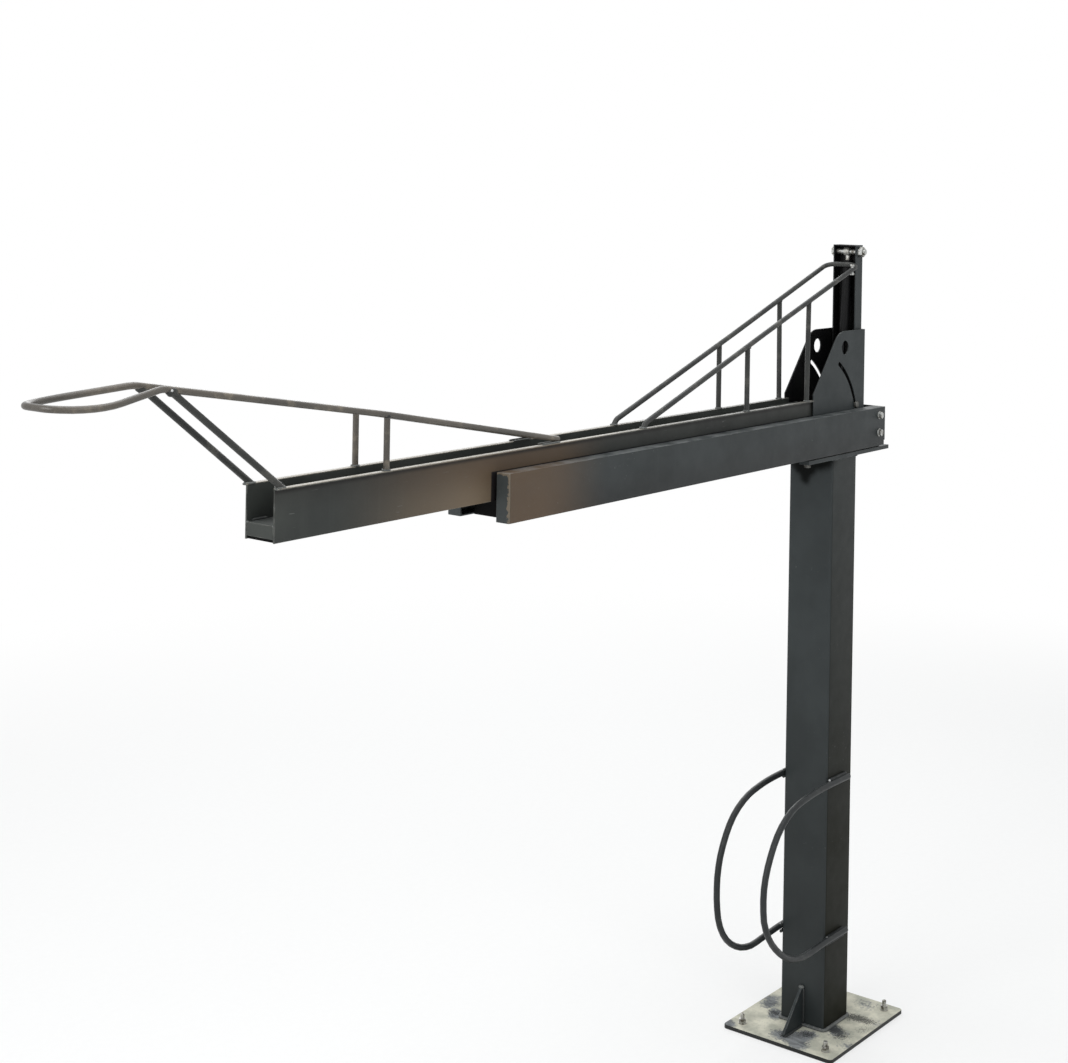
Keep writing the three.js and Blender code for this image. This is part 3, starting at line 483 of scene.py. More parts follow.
stand_finish = stand_coat("stand_powder_coat", 0.40, 0.0022)
gusset_finish = stand_coat("gusset_powder_coat", 0.85, 0.0034)
post_finish = post_coat()
for made in (stand_finish, gusset_finish, post_finish):
    print(made.name, len(made.node_tree.nodes), "nodes")

# %% Carriage coat
bracket_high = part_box("carriage_bracket")[1]
upright_low, upright_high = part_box("upright_channel")
bracket_inside = bracket_high.y - 0.0016
upright_inside = upright_high.y - 0.0020


def inside_of(tree, x, y, half, back):
    narrow = rise(tree, size_of(tree, y), half + 0.0003, half - 0.0003)
    return times(tree, narrow, rise(tree, x, back, back - 0.0005))


def carriage_coat():
    """The stand's coat, with the inside of the folded bracket and the channel painted black as painted shade."""
    finish, tree, shader, place = start_finish("carriage_powder_coat")
    x, y, z = parts_of(tree, place)
    colour = coat_colour(tree, place, paint(46, 51, 52), paint(53, 58, 59))
    colour = edge_wear_and_highlight(tree, place, colour, worn_steel_and_highlight, 0.22, 0.0014)
    colour = settled_dust(tree, place, colour, pale_dust, 0.30)
    low = times(tree, inside_of(tree, x, y, bracket_inside, bracket_high.x - 0.0012),
                rise(tree, z, bracket_high.z + 0.0002, bracket_high.z - 0.0002))
    high = inside_of(tree, x, y, upright_inside, bracket_high.x - 0.0046)
    shade_grain = rise(tree, grain(tree, place, 30, 4), 0.30, 0.70)
    black = layer(tree, shade_grain, paint(7, 7, 8), paint(15, 15, 15))
    colour = layer(tree, sum_up(tree, "MAXIMUM", low, high), colour, black)
    coat_surface(tree, place, shader, colour, 0.46, 0.18)
    return finish


carriage_finish = carriage_coat()
print(carriage_finish.name, len(carriage_finish.node_tree.nodes), "nodes")

# %% [markdown]
# ## The tray's paint
# The tray has the same paint, but wheels are pushed along it every day. Its folded lips are rubbed to a pale grey,
# with dark paint left in patches, and its near wall has a warm brown reflection painted into its colour in the
# middle.
# Painted shade lies under the lips, between the rails, below the end face and on the near wall's upper half.
# The lips are found by height, which a mask in the material can read, so no mesh has to be cut.

# %% Tray coat
lip_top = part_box("tray_wall_near")[1].z
floor_low, floor_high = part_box("tray_floor")
outside_of_walls = (0.0292, 0.0297)
upper_half = (1.262, 1.312)
wheel_rubs = {"From Min": -0.95, "From Max": -0.50}
tray_reflection_span = (-1.52, -1.15, -0.98, -0.80, paint(119, 103, 84))
print("lip top", round(lip_top, 4), "floor from", round(floor_low.x, 4), round(floor_low.z, 4))


def rubbed_lips(tree, place, colour):
    x, _, z = parts_of(tree, place)
    high = rise(tree, z, lip_top - 0.0016, lip_top - 0.0006)
    below_rods = rise(tree, z, lip_top + 0.0012, lip_top + 0.0006)
    patches = rise(tree, grain(tree, stretched(tree, place, (0.25, 1, 1)), 60, 4), 0.20, 0.42)
    used = put(tree, "MapRange", {"Value": x, **wheel_rubs, "To Min": 0.90, "To Max": 0.22}).outputs[0]
    return layer(tree, times(tree, high, below_rods, patches, used), colour, paint(158, 152, 140))


# Painted shadow: a dark band on the walls' outer faces just below the lips.
def painted_shadow_under_lips(tree, place, colour):
    _, y, z = parts_of(tree, place)
    outside = rise(tree, size_of(tree, y), *outside_of_walls)
    above = rise(tree, z, lip_top - 0.0120, lip_top - 0.0040)
    below = rise(tree, z, lip_top - 0.0022, lip_top - 0.0026)
    return layer(tree, times(tree, outside, above, below, 0.85), colour, paint(20, 18, 16))


def painted_shade_between_rails(tree, place, colour):
    """Where the wall runs inside the rails it is painted dark as painted shade, and the painted warm reflection
    stops there.
    """
    x, y, z = parts_of(tree, place)
    behind = rise(tree, x, rail_front - 0.0085, rail_front - 0.0060)
    outside = rise(tree, size_of(tree, y), *outside_of_walls)
    below = rise(tree, z, rail_top + 0.0008, rail_top - 0.0010)
    return layer(tree, times(tree, behind, outside, below, 0.95), colour, paint(17, 17, 22))


def painted_shade_under_end(tree, place, colour):
    """The gap below the tray's end face is painted black as painted shade inside the floor's box."""
    x, y, z = parts_of(tree, place)
    below = rise(tree, z, floor_low.z + 0.0050, floor_low.z + 0.0045)
    inside = rise(tree, size_of(tree, y), 0.0272, 0.0268)
    in_front = rise(tree, x, floor_low.x + 0.060, floor_low.x + 0.030)
    return layer(tree, times(tree, below, inside, in_front), colour, paint(6, 6, 6))


def painted_shade_upper_half(tree, place, colour):
    """The near wall is painted a little darker towards its lip, as painted shade."""
    _, y, z = parts_of(tree, place)
    share = times(tree, rise(tree, z, *upper_half), rise(tree, y, *near_side), 0.36)
    return layer(tree, share, colour, paint(33, 30, 27))


def tray_coat():
    finish, tree, shader, place = start_finish("tray_powder_coat")
    colour = coat_colour(tree, place, paint(49, 52, 50), paint(60, 63, 60))
    colour = painted_shade_upper_half(tree, place, colour)
    # Painted warm reflection on the tray's near wall.
    colour = warm_painted_reflection(tree, place, colour, *tray_reflection_span)
    colour = edge_wear_and_highlight(tree, place, colour, paint(140, 140, 135), 0.60)
    colour = chips(tree, stretched(tree, place, (0.10, 1, 1)), colour, worn_steel_and_highlight)
    colour = painted_shadow_under_lips(tree, place, colour)
    colour = painted_shade_between_rails(tree, place, colour)
    colour = rubbed_lips(tree, place, colour)
    colour = painted_shade_under_end(tree, place, colour)
    colour = settled_dust(tree, place, colour, pale_dust, 0.22)
    coat_surface(tree, place, shader, colour, 0.44)
    return finish


tray_finish = tray_coat()
print(tray_finish.name, len(tray_finish.node_tree.nodes), "nodes")

# %% Rod coats
def rod_coat(name, deep, pale, rubbed, amount, gloss, shine, dust):
    finish, tree, shader, place = start_finish(name)
    colour = coat_colour(tree, place, deep, pale)
    rubs = rise(tree, grain(tree, place, 34, 5), 0.54, 0.68)
    colour = layer(tree, times(tree, rubs, amount), colour, rubbed)
    colour = settled_dust(tree, place, colour, pale_dust, dust)
    coat_surface(tree, place, shader, colour, gloss, shine)
    return finish


rod_paints = (paint(45, 46, 46), paint(58, 59, 57), paint(98, 96, 90))
# The guard rods' brown tones are painted warm reflection, like the near side's.
guard_paints_warm_reflection = (paint(70, 66, 60), paint(88, 82, 74), paint(134, 124, 108))
hoop_paints = (paint(29, 32, 33), paint(38, 41, 42), paint(74, 77, 74))
rod_finish = rod_coat("tray_rod_coat", *rod_paints, amount=0.42, gloss=0.40, shine=0.24, dust=0.24)
guard_finish = rod_coat("guard_rod_coat", *guard_paints_warm_reflection, amount=0.45, gloss=0.30, shine=0.5, dust=0.30)
hoop_finish = rod_coat("hoop_coat", *hoop_paints, amount=0.22, gloss=0.40, shine=0.30, dust=0.10)
for made in (rod_finish, guard_finish, hoop_finish):
    print(made.name, len(made.node_tree.nodes), "nodes")

# %% [markdown]
# ## The base plate
# The base plate is painted like the stand, but mortar was washed over it when it was set. A pale, slightly
# yellow crust covers its top. It is thin in places, where the paint shows through as soft blue grey streaks, round
# the gusset's foot and beside the post, and it has broken away in black specks. Each thin place is a round mark with
# a soft edge, and a grain breaks up its outline.

# %% Thin and broken places
plate_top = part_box("base_plate")[1].z


def marks_on_plate(*marks_given):
    """Marks as centre, reach and strength, from rows of x, y, reach and strength on the plate's top."""
    return [((x, y, plate_top), reach, strength) for x, y, reach, strength in marks_given]


thin_places = marks_on_plate(
    (-0.118, 0.010, 0.042, 1.0), (-0.108, -0.022, 0.048, 1.0), (-0.140, -0.042, 0.040, 1.0),
    (-0.080, -0.036, 0.034, 0.9), (-0.036, 0.071, 0.028, 1.0), (-0.056, 0.062, 0.024, 0.9),
    (0.013, 0.111, 0.044, 0.8), (-0.016, 0.100, 0.034, 0.7), (-0.154, 0.127, 0.040, 1.6),
    (-0.076, -0.123, 0.034, 0.7), (-0.040, -0.083, 0.044, 0.6), (-0.025, -0.058, 0.034, 0.7),
    (0.050, -0.121, 0.044, 0.5), (0.143, -0.029, 0.060, 0.2), (0.120, -0.062, 0.046, 0.5),
)
broken_places = marks_on_plate(
    (0.051, -0.064, 0.036, 1.0), (0.053, -0.098, 0.034, 0.9), (-0.040, -0.083, 0.044, 0.8),
    (-0.020, -0.056, 0.034, 0.9), (-0.084, -0.030, 0.034, 0.9), (-0.112, 0.004, 0.034, 0.8),
    (-0.040, 0.072, 0.026, 1.0), (0.010, -0.110, 0.030, 0.6),
)
print(len(thin_places), "thin and", len(broken_places), "broken places at", round(plate_top, 4))


def broken_up(tree, place, spots, weight, scale, low, high):
    cover = marks(tree, place, spots)
    rough = times(tree, centred(tree, grain(tree, place, scale, 8, 0.72, 0.4)), 2.2)
    share = rise(tree, sum_up(tree, "ADD", times(tree, cover, weight), rough), low, high)
    return times(tree, share, rise(tree, cover, 0.02, 0.20))


# %% Base plate finish
def mortar_colour(tree, place):
    clouds = rise(tree, grain(tree, place, 26, 6), 0.35, 0.70)
    crust = layer(tree, clouds, paint(176, 176, 162), paint(216, 213, 196))
    specks = rise(tree, grain(tree, place, 330, 3), 0.58, 0.70)
    crust = layer(tree, times(tree, specks, 0.35), crust, paint(124, 126, 120))
    streaked = grain(tree, stretched(tree, place, (1.0, 0.35, 1.0)), 90, 6, 0.65, 0.5)
    blue = layer(tree, rise(tree, streaked, 0.36, 0.62), paint(74, 79, 86), paint(126, 130, 134))
    thin = broken_up(tree, place, thin_places, 0.95, 150, 0.25, 0.75)
    crust = layer(tree, times(tree, thin, 0.90), crust, blue)
    broken = broken_up(tree, place, broken_places, 0.60, 420, 0.30, 0.44)
    return layer(tree, times(tree, broken, 0.85), crust, paint(44, 46, 47))


def base_plate_finish():
    finish, tree, shader, place = start_finish("base_plate_coat_and_mortar")
    coat = coat_colour(tree, place, paint(28, 29, 28), paint(38, 39, 38))
    flecks = rise(tree, grain(tree, place, 120, 4), 0.66, 0.74)
    coat = layer(tree, times(tree, flecks, 0.45), coat, paint(150, 148, 136))
    ragged = sum_up(tree, "ADD", parts_of(tree, place)["Z"], times(tree, grain(tree, place, 90, 4), 0.0012))
    share = times(tree, rise(tree, ragged, plate_top - 0.0004, plate_top + 0.0002), upward_share(tree))
    lumps = sum_up(tree, "ADD", grain(tree, place, 260, 6), grain(tree, place, 30, 4))
    feed(tree, shader, {
        "Base Color": layer(tree, share, coat, mortar_colour(tree, place)),
        "Roughness": spread(tree, share, 0.5, 0.93),
        "Normal": relief(tree, times(tree, share, lumps), 0.0005, 0.6),
        "Specular IOR Level": 0.25,
    })
    return finish


base_finish = base_plate_finish()
print(base_finish.name, len(base_finish.node_tree.nodes), "nodes")

# %% [markdown]
# ## Bolts, plastic and the gas spring
# The bolts are zinc plated: a bright grey metal with cloudy crystals, dull in patches, and dirty down at the foot.
# Rollers and guide block are black plastic with fine turning marks. The gas spring has a dull black tube, a bare
# steel eye and stem at its top, and a rod hardened black. The eye and the tube are one solid, so the finish changes
# by height.

# %% Zinc
def zinc_plate(name, bright, unshaded_shine, dirt, metal_least, dull_least):
    finish, tree, shader, place = start_finish(name)
    crystals = put(tree, "TexVoronoi", {"Vector": place, "Scale": 700.0}).outputs["Distance"]
    cloud = grain(tree, place, 120, 4)
    colour = layer(tree, rise(tree, crystals, 0.2, 0.8), bright, unshaded_shine)
    colour = layer(tree, rise(tree, cloud, 0.45, 0.66), colour, dirt)
    feed(tree, shader, {
        "Base Color": colour,
        "Metallic": spread(tree, rise(tree, cloud, 0.5, 0.7), 0.95, metal_least),
        "Roughness": spread(tree, cloud, dull_least, dull_least + 0.32),
        "Normal": relief(tree, grain(tree, place, 1400, 3), 0.0001, 0.5),
    })
    return finish


zinc_finish = zinc_plate("zinc_plate", paint(196, 198, 196), paint(168, 170, 168), paint(112, 108, 98), 0.55, 0.24)
dull_zinc = zinc_plate("dull_zinc", paint(122, 122, 119), paint(94, 94, 91), paint(58, 56, 51), 0.35, 0.40)
dirty_zinc = zinc_plate("weathered_zinc", paint(196, 196, 192), paint(150, 149, 143), paint(84, 80, 70), 0.45, 0.26)
print("zinc:", ", ".join(made.name for made in (zinc_finish, dull_zinc, dirty_zinc)))


# %% Black plastic
def black_plastic(name, dark, scuffed, dust_amount, shine):
    finish, tree, shader, place = start_finish(name)
    scuffs = rise(tree, grain(tree, place, 160, 4), 0.56, 0.74)
    colour = layer(tree, times(tree, scuffs, 0.5), dark, scuffed)
    colour = settled_dust(tree, place, colour, paint(96, 92, 84), dust_amount)
    rings = put(tree, "TexWave", {"Vector": place, "Scale": 260.0, "Distortion": 1.2}).outputs[1]
    feed(tree, shader, {
        "Base Color": colour,
        "Roughness": spread(tree, scuffs, 0.45, 0.75),
        "Normal": relief(tree, rings, 0.0001, 0.3),
        "Specular IOR Level": shine,
    })
    return finish


plastic_finish = black_plastic("black_plastic", paint(20, 20, 21), paint(52, 51, 49), 0.30, 0.30)
block_finish = black_plastic("guide_block_plastic", paint(7, 7, 7), paint(22, 21, 20), 0.0, 0.06)
print("plastics:", plastic_finish.name, block_finish.name)

# %% Gas spring tube
spring_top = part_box("gas_spring_cylinder")[1].z
eye_height = 0.028
print("the tube's paint starts at", round(spring_top - eye_height, 4))


def spring_tube():
    finish, tree, shader, place = start_finish("spring_tube")
    height = parts_of(tree, place)["Z"]
    bare = rise(tree, height, spring_top - eye_height - 0.0005, spring_top - eye_height + 0.0005)
    scratches = rise(tree, grain(tree, stretched(tree, place, (1, 1, 0.08)), 420, 3), 0.60, 0.74)
    black = layer(tree, times(tree, scratches, 0.25), paint(13, 13, 14), paint(42, 43, 44))
    steel = layer(tree, rise(tree, grain(tree, place, 150, 4), 0.4, 0.7), paint(186, 186, 182), paint(120, 116, 106))
    feed(tree, shader, {
        "Base Color": layer(tree, bare, black, steel),
        "Metallic": times(tree, bare, 0.9),
        "Roughness": spread(tree, grain(tree, place, 90, 3), 0.42, 0.60),
        "Normal": relief(tree, grain(tree, place, 900, 2), 0.0001, 0.25),
        "Specular IOR Level": 0.15,
    })
    return finish


spring_finish = spring_tube()


# %% Hardened rod
def nitrided_rod():
    finish, tree, shader, place = start_finish("nitrided_rod")
    oil = rise(tree, grain(tree, stretched(tree, place, (1, 1, 0.3)), 110, 4), 0.45, 0.75)
    colour = layer(tree, oil, paint(30, 31, 33), paint(16, 16, 17))
    feed(tree, shader, {"Base Color": colour, "Metallic": 0.6, "Roughness": spread(tree, oil, 0.34, 0.22)})
    return finish


spring_rod_finish = nitrided_rod()
print("spring and bolts finished")

# %% [markdown]
# ## Painting the solids
# Every solid from the model gets its finish in its own material slot. The rails, the tray's sheets and other plain
# parts follow the slot's name. The rest, such as the base plate, the post, the bent rods and the bolts, have their
# own finish, because the real ones wear in their own ways.

# %% Which finish goes where
slot_finishes = {
    "powder_coat": stand_finish,
    "tray_coat": tray_finish,
    "zinc": zinc_finish,
    "black_plastic": plastic_finish,
    "spring_black": spring_finish,
}
own_finishes = {
    "base_plate": base_finish,
    "gusset": gusset_finish,
    "post": post_finish,
    "carriage_bracket": carriage_finish,
    "upright_channel": carriage_finish,
    "upright_cap": carriage_finish,
    "handle_and_guards": guard_finish,
    "guard_strut": guard_finish,
    "handle_brace": rod_finish,
    "holder_strut": rod_finish,
    "front_wheel_holder": rod_finish,
    "lower_hoop": hoop_finish,
    "anchor": dirty_zinc,
    "rail_bolt": dull_zinc,
    "rail_stud": dull_zinc,
    "tail_stud": dull_zinc,
    "tray_guide_block": block_finish,
    "gas_spring_rod": spring_rod_finish,
}


def finish_for(name, slot_name):
    for start_of_name, own_finish in own_finishes.items():
        if name.startswith(start_of_name):
            return own_finish
    return slot_finishes[slot_name]


for node_name, node in nodes.items():
    for place_in_mesh in node.material_slots:
        given_name = place_in_mesh.material.name.split(".")[0]
        place_in_mesh.material = finish_for(node_name, given_name)
print("painted", len(nodes), "solids")

# %% [markdown]
# ## Softer edges
# Bent and cut sheet never has a knife edge. The solids arrive as loose triangles, so each is welded, its flat faces
# are joined, and a narrow bevel catches the light along its edges. Modifiers do this without touching the mesh
# itself, so the solid stays the one that the model was packed with.

# %% Bevel the solids
edge_widths = {
    "post": 0.0012,
    "base_plate": 0.0010,
    "rail_near": 0.0008,
    "rail_far": 0.0008,
}
plain_edge = 0.0006
weld_distance = 0.00002
flat_within = math.radians(0.1)
bevel_from = math.radians(34)


def soften(node, width):
    mesh = node.data
    if "custom_normal" in mesh.attributes:
        mesh.attributes.remove(mesh.attributes["custom_normal"])
    mesh.polygons.foreach_set("use_smooth", [True] * len(mesh.polygons))
    weld = node.modifiers.new("weld", "WELD")
    weld.merge_threshold = weld_distance
    flats = node.modifiers.new("flats", "DECIMATE")
    flats.decimate_type = "DISSOLVE"
    flats.angle_limit = flat_within
    bevel = node.modifiers.new("bevel", "BEVEL")
    bevel.width = width
    bevel.segments = 2
    bevel.limit_method = "ANGLE"
    bevel.angle_limit = bevel_from
    bevel.harden_normals = True
    bevel.miter_outer = "MITER_ARC"


for node_name, node in nodes.items():
    soften(node, edge_widths.get(node_name, plain_edge))
print("softened", len(nodes), "solids")

# %% [markdown]
# ## Weld beads
# The real rack is welded by hand. A bead is a row of small overlapping puddles, so it is a round rope with a
# ripple about every two millimetres, laid half into the corner it fills. Each run is given by its points, is swept
# as a tube, and all runs of one place join into one piece, which rides on the part that it holds.

# %% From a mesh to a piece
def add_piece(name, mesh, body, finish):
    """Turn a finished mesh into a smooth piece that rides on a body and takes a slot's name."""
    data = bpy.data.meshes.new(name)
    mesh.to_mesh(data)
    mesh.free()
    data.polygons.foreach_set("use_smooth", [True] * len(data.polygons))
    data.materials.append(finish)
    piece = bpy.data.objects.new(name, data)
    bpy.context.scene.collection.objects.link(piece)
    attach(piece, body)
    print(name, len(data.vertices), "points")
    return piece


# %% Points along a run
ripple_pitch = 0.0023
steps_per_ripple = 3
rope_sides = 8


def evenly(points, spacing):
    """The same line with points a fixed distance apart."""
    found = [Vector(points[0])]
    carried = 0.0
    for start, end in zip(points, points[1:]):
        start, end = Vector(start), Vector(end)
        length = (end - start).length
        reached = spacing - carried
        while reached < length:
            found.append(start.lerp(end, reached / length))
            reached += spacing
        carried = length - (reached - spacing)
    found.append(Vector(points[-1]))
    return found


# %% Sweep one bead
def sweep_bead(mesh, points, radius, rng):
    line = evenly(points, ripple_pitch / steps_per_ripple)
    rings = []
    for index, point in enumerate(line):
        before = line[max(index - 1, 0)]
        after = line[min(index + 1, len(line) - 1)]
        along = (after - before).normalized()
        side = along.orthogonal() if abs(along.z) > 0.9 else along.cross(Vector((0, 0, 1)))
        side.normalize()
        across = along.cross(side)
        puddle = abs(math.sin(math.pi * index / steps_per_ripple + 0.4))
        from_end = min(index, len(line) - 1 - index) / (2 * steps_per_ripple)
        taper = min(1.0, 0.45 + 0.55 * from_end)
        size = radius * taper * (0.84 + 0.16 * puddle + rng.uniform(-0.04, 0.04))
        ring = []
        for corner in range(rope_sides):
            angle = 2 * math.pi * corner / rope_sides
            ring.append(mesh.verts.new(point + size * (math.cos(angle) * side + math.sin(angle) * across)))
        rings.append(ring)
    for first, second in zip(rings, rings[1:]):
        for corner in range(rope_sides):
            following = (corner + 1) % rope_sides
            mesh.faces.new((first[corner], first[following], second[following], second[corner]))
    mesh.faces.new(list(reversed(rings[0])))
    mesh.faces.new(rings[-1])


# %% Weld a place
def weld_place(name, runs, radius, body, finish):
    rng = random.Random(name)
    mesh = bmesh.new()
    for points in runs:
        sweep_bead(mesh, points, radius, rng)
    bmesh.ops.recalc_face_normals(mesh, faces=mesh.faces)
    add_piece(name, mesh, body, finish)


# %% Weld paint
def weld_coat(name, deep, pale, scale_colour, scale_amount):
    finish, tree, shader, place = start_finish(name)
    colour = coat_colour(tree, place, deep, pale)
    scale = rise(tree, grain(tree, place, 260, 3), 0.56, 0.70)
    colour = layer(tree, times(tree, scale, scale_amount), colour, scale_colour)
    coat_surface(tree, place, shader, colour, 0.40, 0.30)
    return finish


dark_weld = weld_coat("dark_weld_coat", paint(44, 47, 47), paint(58, 60, 59), paint(92, 93, 89), 0.5)
grey_weld = weld_coat("grey_weld_coat", paint(78, 81, 81), paint(100, 102, 100), paint(138, 138, 132), 0.7)


def ground_steel():
    """Bare steel where a grinder touched the end of a bead."""
    finish, tree, shader, place = start_finish("ground_steel")
    lines = rise(tree, grain(tree, stretched(tree, place, (1, 1, 0.2)), 800, 3), 0.35, 0.70)
    colour = layer(tree, lines, paint(206, 208, 210), paint(160, 160, 156))
    feed(tree, shader, {"Base Color": colour, "Metallic": 0.55, "Roughness": spread(tree, lines, 0.28, 0.50)})
    return finish


ground_finish = ground_steel()
print("weld finishes:", dark_weld.name, grey_weld.name, ground_finish.name)

# %% Post welds
post_corner = 0.007
corner_steps = 6


def square_ring(half, z):
    """A square with rounded corners, a little outside the post's own."""
    points = []
    for quarter in range(4):
        centre_x = (half - post_corner) * (1 if quarter in (0, 3) else -1)
        centre_y = (half - post_corner) * (1 if quarter in (0, 1) else -1)
        for step in range(corner_steps + 1):
            angle = math.radians(90 * (quarter + step / corner_steps))
            points.append((centre_x + post_corner * math.cos(angle), centre_y + post_corner * math.sin(angle), z))
    return [*points, points[0]]


foot_ring = square_ring(post_half + 0.0018, plate_top + 0.0018)
head_ring = square_ring(post_half + 0.0012, post_top - 0.0012)
weld_place("post_foot_weld", [foot_ring], 0.0042, "stand", grey_weld)
weld_place("post_head_weld", [head_ring], 0.0030, "stand", stand_finish)

# %% Gusset welds
gusset_low, gusset_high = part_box("gusset_front")
print("gusset", [round(v, 4) for v in (*gusset_low, *gusset_high)])


def gusset_runs(side):
    outer = side * abs(gusset_low.x)
    inner = side * (post_half + 0.0015)
    half = gusset_high.y + 0.0012
    low = plate_top + 0.0016
    runs = []
    for y in (-half, half):
        runs.append([(outer, y, low), (inner + side * 0.001, y, low)])
        runs.append([(inner, y, low + 0.003), (inner, y, gusset_high.z - 0.002)])
    return runs


weld_place("gusset_front_weld", gusset_runs(-1), 0.0027, "stand", dark_weld)
weld_place("gusset_rear_weld", gusset_runs(1), 0.0027, "stand", dark_weld)

# %% [markdown]
# ## Weld lumps
# Where a rod ends on another there is no room for a bead, only for a lump of a few puddles. A lump is a ball pressed
# to its three half sizes and roughened by a little noise, so that no two are the same. Many lumps of one place are
# one piece.

# %% A lump and its places
noise_room = 50


def lump(mesh, centre, half_sizes, seed_place):
    made = bmesh.ops.create_icosphere(mesh, subdivisions=3, radius=1)
    for vertex in made["verts"]:
        away = vertex.co.normalized()
        rough = 1 + 0.14 * noise.noise(away * 2.2 + seed_place) + 0.05 * noise.noise(away * 6 + seed_place)
        vertex.co = Vector(centre) + Vector([rough * part * size for part, size in zip(away, half_sizes)])


def lump_place(name, lumps, body, finish):
    rng = random.Random(name)
    mesh = bmesh.new()
    for centre, half_sizes in lumps:
        lump(mesh, centre, half_sizes, Vector([rng.uniform(0, noise_room) for _ in range(3)]))
    add_piece(name, mesh, body, finish)


lump_place("gusset_top_lump", [
    ((-(post_half + 0.0035), 0, gusset_high.z + 0.0005), (0.0048, 0.0062, 0.0034)),
], "stand", grey_weld)

# %% [markdown]
# ## Welds of the hoops and rods
# A hoop's leg lies along the post's side with a bead above and below it. A grinder touched the ends of those beads,
# so a little bare steel shines there. A thin rod that ends on the tray's lip has a bead round its foot, and one that
# ends on another rod has a lump. Most places are read from the boxes of the solids, so that a weld follows its rod.

# %% Hoop welds
hoop_low, hoop_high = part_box("lower_hoop_near")
hoop_rod_radius = 0.0065
leg_levels = (hoop_high.z - hoop_rod_radius, hoop_low.z + hoop_rod_radius)
print("hoop legs at", [round(v, 4) for v in leg_levels], "to", round(hoop_high.x, 4))


def hoop_runs(side):
    y = side * (post_half + 0.0022)
    return [[(-post_half + 0.003, y, z + up), (hoop_high.x - 0.002, y, z + up)]
            for z in leg_levels for up in (0.0062, -0.0062)]


weld_place("hoop_near_weld", hoop_runs(-1), 0.0042, "stand", hoop_finish)
weld_place("hoop_far_weld", hoop_runs(1), 0.0042, "stand", hoop_finish)
hoop_ends = [((-post_half + 0.002, side * (post_half + 0.0030), z + up), (0.0040, 0.0030, 0.0034))
             for side in (-1, 1) for z in leg_levels for up in (0.0066, -0.0066)]
lump_place("hoop_weld_ends", hoop_ends, "stand", dark_weld)
sparks = [((-post_half + 0.0008, side * (post_half + 0.0048), z + 0.0072), (0.0024, 0.0020, 0.0030))
          for side in (-1, 1) for z in leg_levels]
lump_place("hoop_ground_spots", sparks, "stand", ground_finish)

# %% Rod feet on the lips
lip_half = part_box("tray_wall_far")[1].y
rod_radius = 0.005
ring_steps = 20
struts = ("guard_strut", "holder_strut_front", "holder_strut_rear")


def middle(low, high):
    return (Vector(low) + Vector(high)) / 2


def foot_ring_run(x, y, radius=rod_radius + 0.0008):
    """A ring round a rod's foot, pulled in where it would pass the lip's edge."""
    widest = lip_half - 0.0008
    run = []
    for step in range(ring_steps + 1):
        angle = 2 * math.pi * step / ring_steps
        across = y + radius * math.sin(angle)
        run.append((x + radius * math.cos(angle), min(max(across, -widest), widest), lip_top + 0.0010))
    return run


foot_runs = []
for strut in struts:
    for side in ("near", "far"):
        at = middle(*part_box(f"{strut}_{side}"))
        foot_runs.append(foot_ring_run(at.x, at.y))
for side in ("near", "far"):
    brace_low, brace_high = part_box(f"handle_brace_{side}")
    foot_runs.append(foot_ring_run(brace_high.x - 0.010, middle(brace_low, brace_high).y, rod_radius + 0.0022))
weld_place("rod_feet_weld", foot_runs, 0.0017, "tray", grey_weld)

# %% Guard and holder feet
guard_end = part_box("handle_and_guards")[1].x
holder_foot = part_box("front_wheel_holder")[0].x + 0.006
guard_foot_half = 0.031
holder_foot_half = 0.0325
lying_weld = 0.050
lying_runs = []
for side in (-1, 1):
    for beside in (-rod_radius, rod_radius):
        y = side * guard_foot_half + beside
        z = lip_top + 0.0013
        lying_runs.append([(guard_end - lying_weld, y, z), (guard_end - 0.001, y, z)])
    lying_runs.append(foot_ring_run(holder_foot, side * holder_foot_half))
weld_place("rod_end_feet_weld", lying_runs, 0.0018, "tray", grey_weld)

# %% Rod joints
brace_lump = (0.0100, 0.0056, 0.0068)
strut_lump = (0.0068, 0.0058, 0.0034)
ground_spot = (0.0022, 0.0018, 0.0020)
joint_lumps = []
ground_spots = []
for side, outward in (("near", -1), ("far", 1)):
    low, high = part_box(f"handle_brace_{side}")
    joint_lumps.append(((low.x + 0.006, middle(low, high).y, high.z - 0.002), brace_lump))
    outer_edge = low.y if outward < 0 else high.y
    ground_spots.append(((low.x + 0.0020, outer_edge - outward * 0.0014, high.z + 0.0004), ground_spot))
    for strut in struts:
        low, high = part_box(f"{strut}_{side}")
        shift = 0 if strut == "guard_strut" else outward * 0.0008
        joint_lumps.append(((middle(low, high).x, middle(low, high).y + shift, high.z - 0.0012), strut_lump))
lump_place("rod_joint_lumps", joint_lumps, "tray", rod_finish)
lump_place("brace_ground_spots", ground_spots, "tray", ground_finish)

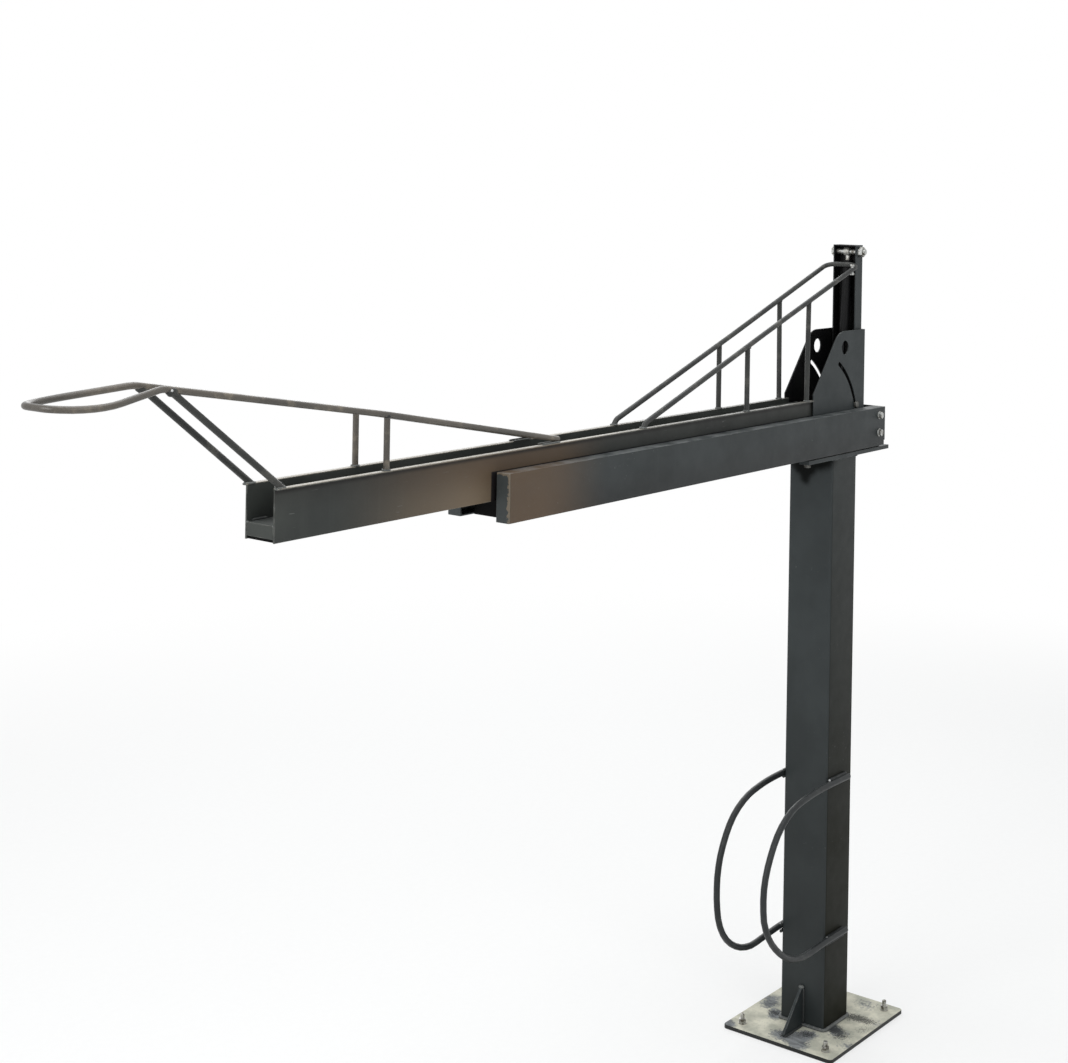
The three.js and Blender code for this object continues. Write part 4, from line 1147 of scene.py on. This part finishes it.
# %% [markdown]
# ## Welds of the tray and the carriage
# Short stitches hold the tray's floor to its walls, because one long bead would warp thin sheet. In the gap below
# the floor's end face a plain black box stands in for the shade there: it is painted shade, and only a dressing. The
# upright channel has a seam at its foot and one along each side of its cap.

# %% Welds of the tray's sheets
stitch_count = 8
stitch_length = 0.030
stitch_pitch = 0.190
sheet_inside = 0.0266
stitches = []
for side in (-1, 1):
    y = side * (floor_high.y - 0.0008)
    z = floor_high.z + 0.0010
    for index in range(stitch_count):
        start_x = floor_low.x + 0.010 + stitch_pitch * index
        stitches.append([(start_x, y, z), (start_x + stitch_length, y, z)])
weld_place("tray_floor_stitches", stitches, 0.0024, "tray", dark_weld)
lip_lump = (0.0060, 0.0042, 0.0024)
corner_lump = (0.0020, 0.0020, 0.0018)
end_lumps = [((floor_low.x + 0.0030, side * 0.0330, lip_top - 0.0006), lip_lump) for side in (-1, 1)]
end_lumps += [((floor_low.x + 0.0012, side * sheet_inside, floor_high.z - 0.0004), corner_lump) for side in (-1, 1)]
lump_place("tray_end_lumps", end_lumps, "tray", grey_weld)

# %% Black box of painted shade below the floor's end
def tray_floor_edge():
    """A plain black box in the gap below the tray's end face, standing in for the shade there as painted shade."""
    low = Vector((floor_low.x + 0.0032, -sheet_inside, floor_low.z + 0.0002))
    high = Vector((floor_low.x + 0.0118, sheet_inside, floor_low.z + 0.0048))
    mesh = bmesh.new()
    for vertex in bmesh.ops.create_cube(mesh, size=1)["verts"]:
        vertex.co = middle(low, high) + Vector([part * size for part, size in zip(vertex.co, high - low)])
    piece = add_piece("tray_floor_edge", mesh, "tray", block_finish)
    soften(piece, plain_edge)


tray_floor_edge()

# %% Carriage welds
seam_x = bracket_high.x - 0.0020
seam_half = 0.024
cap_seam = upright_high.z - 0.0004
carriage_runs = [[(seam_x, y, bracket_high.z + 0.0006) for y in (-seam_half, seam_half)]]
for y in (upright_low.y - 0.0004, upright_high.y + 0.0004):
    carriage_runs.append([(x, y, cap_seam) for x in (upright_low.x + 0.002, upright_high.x - 0.002)])
weld_place("upright_weld", carriage_runs, 0.0016, "carriage", carriage_finish)
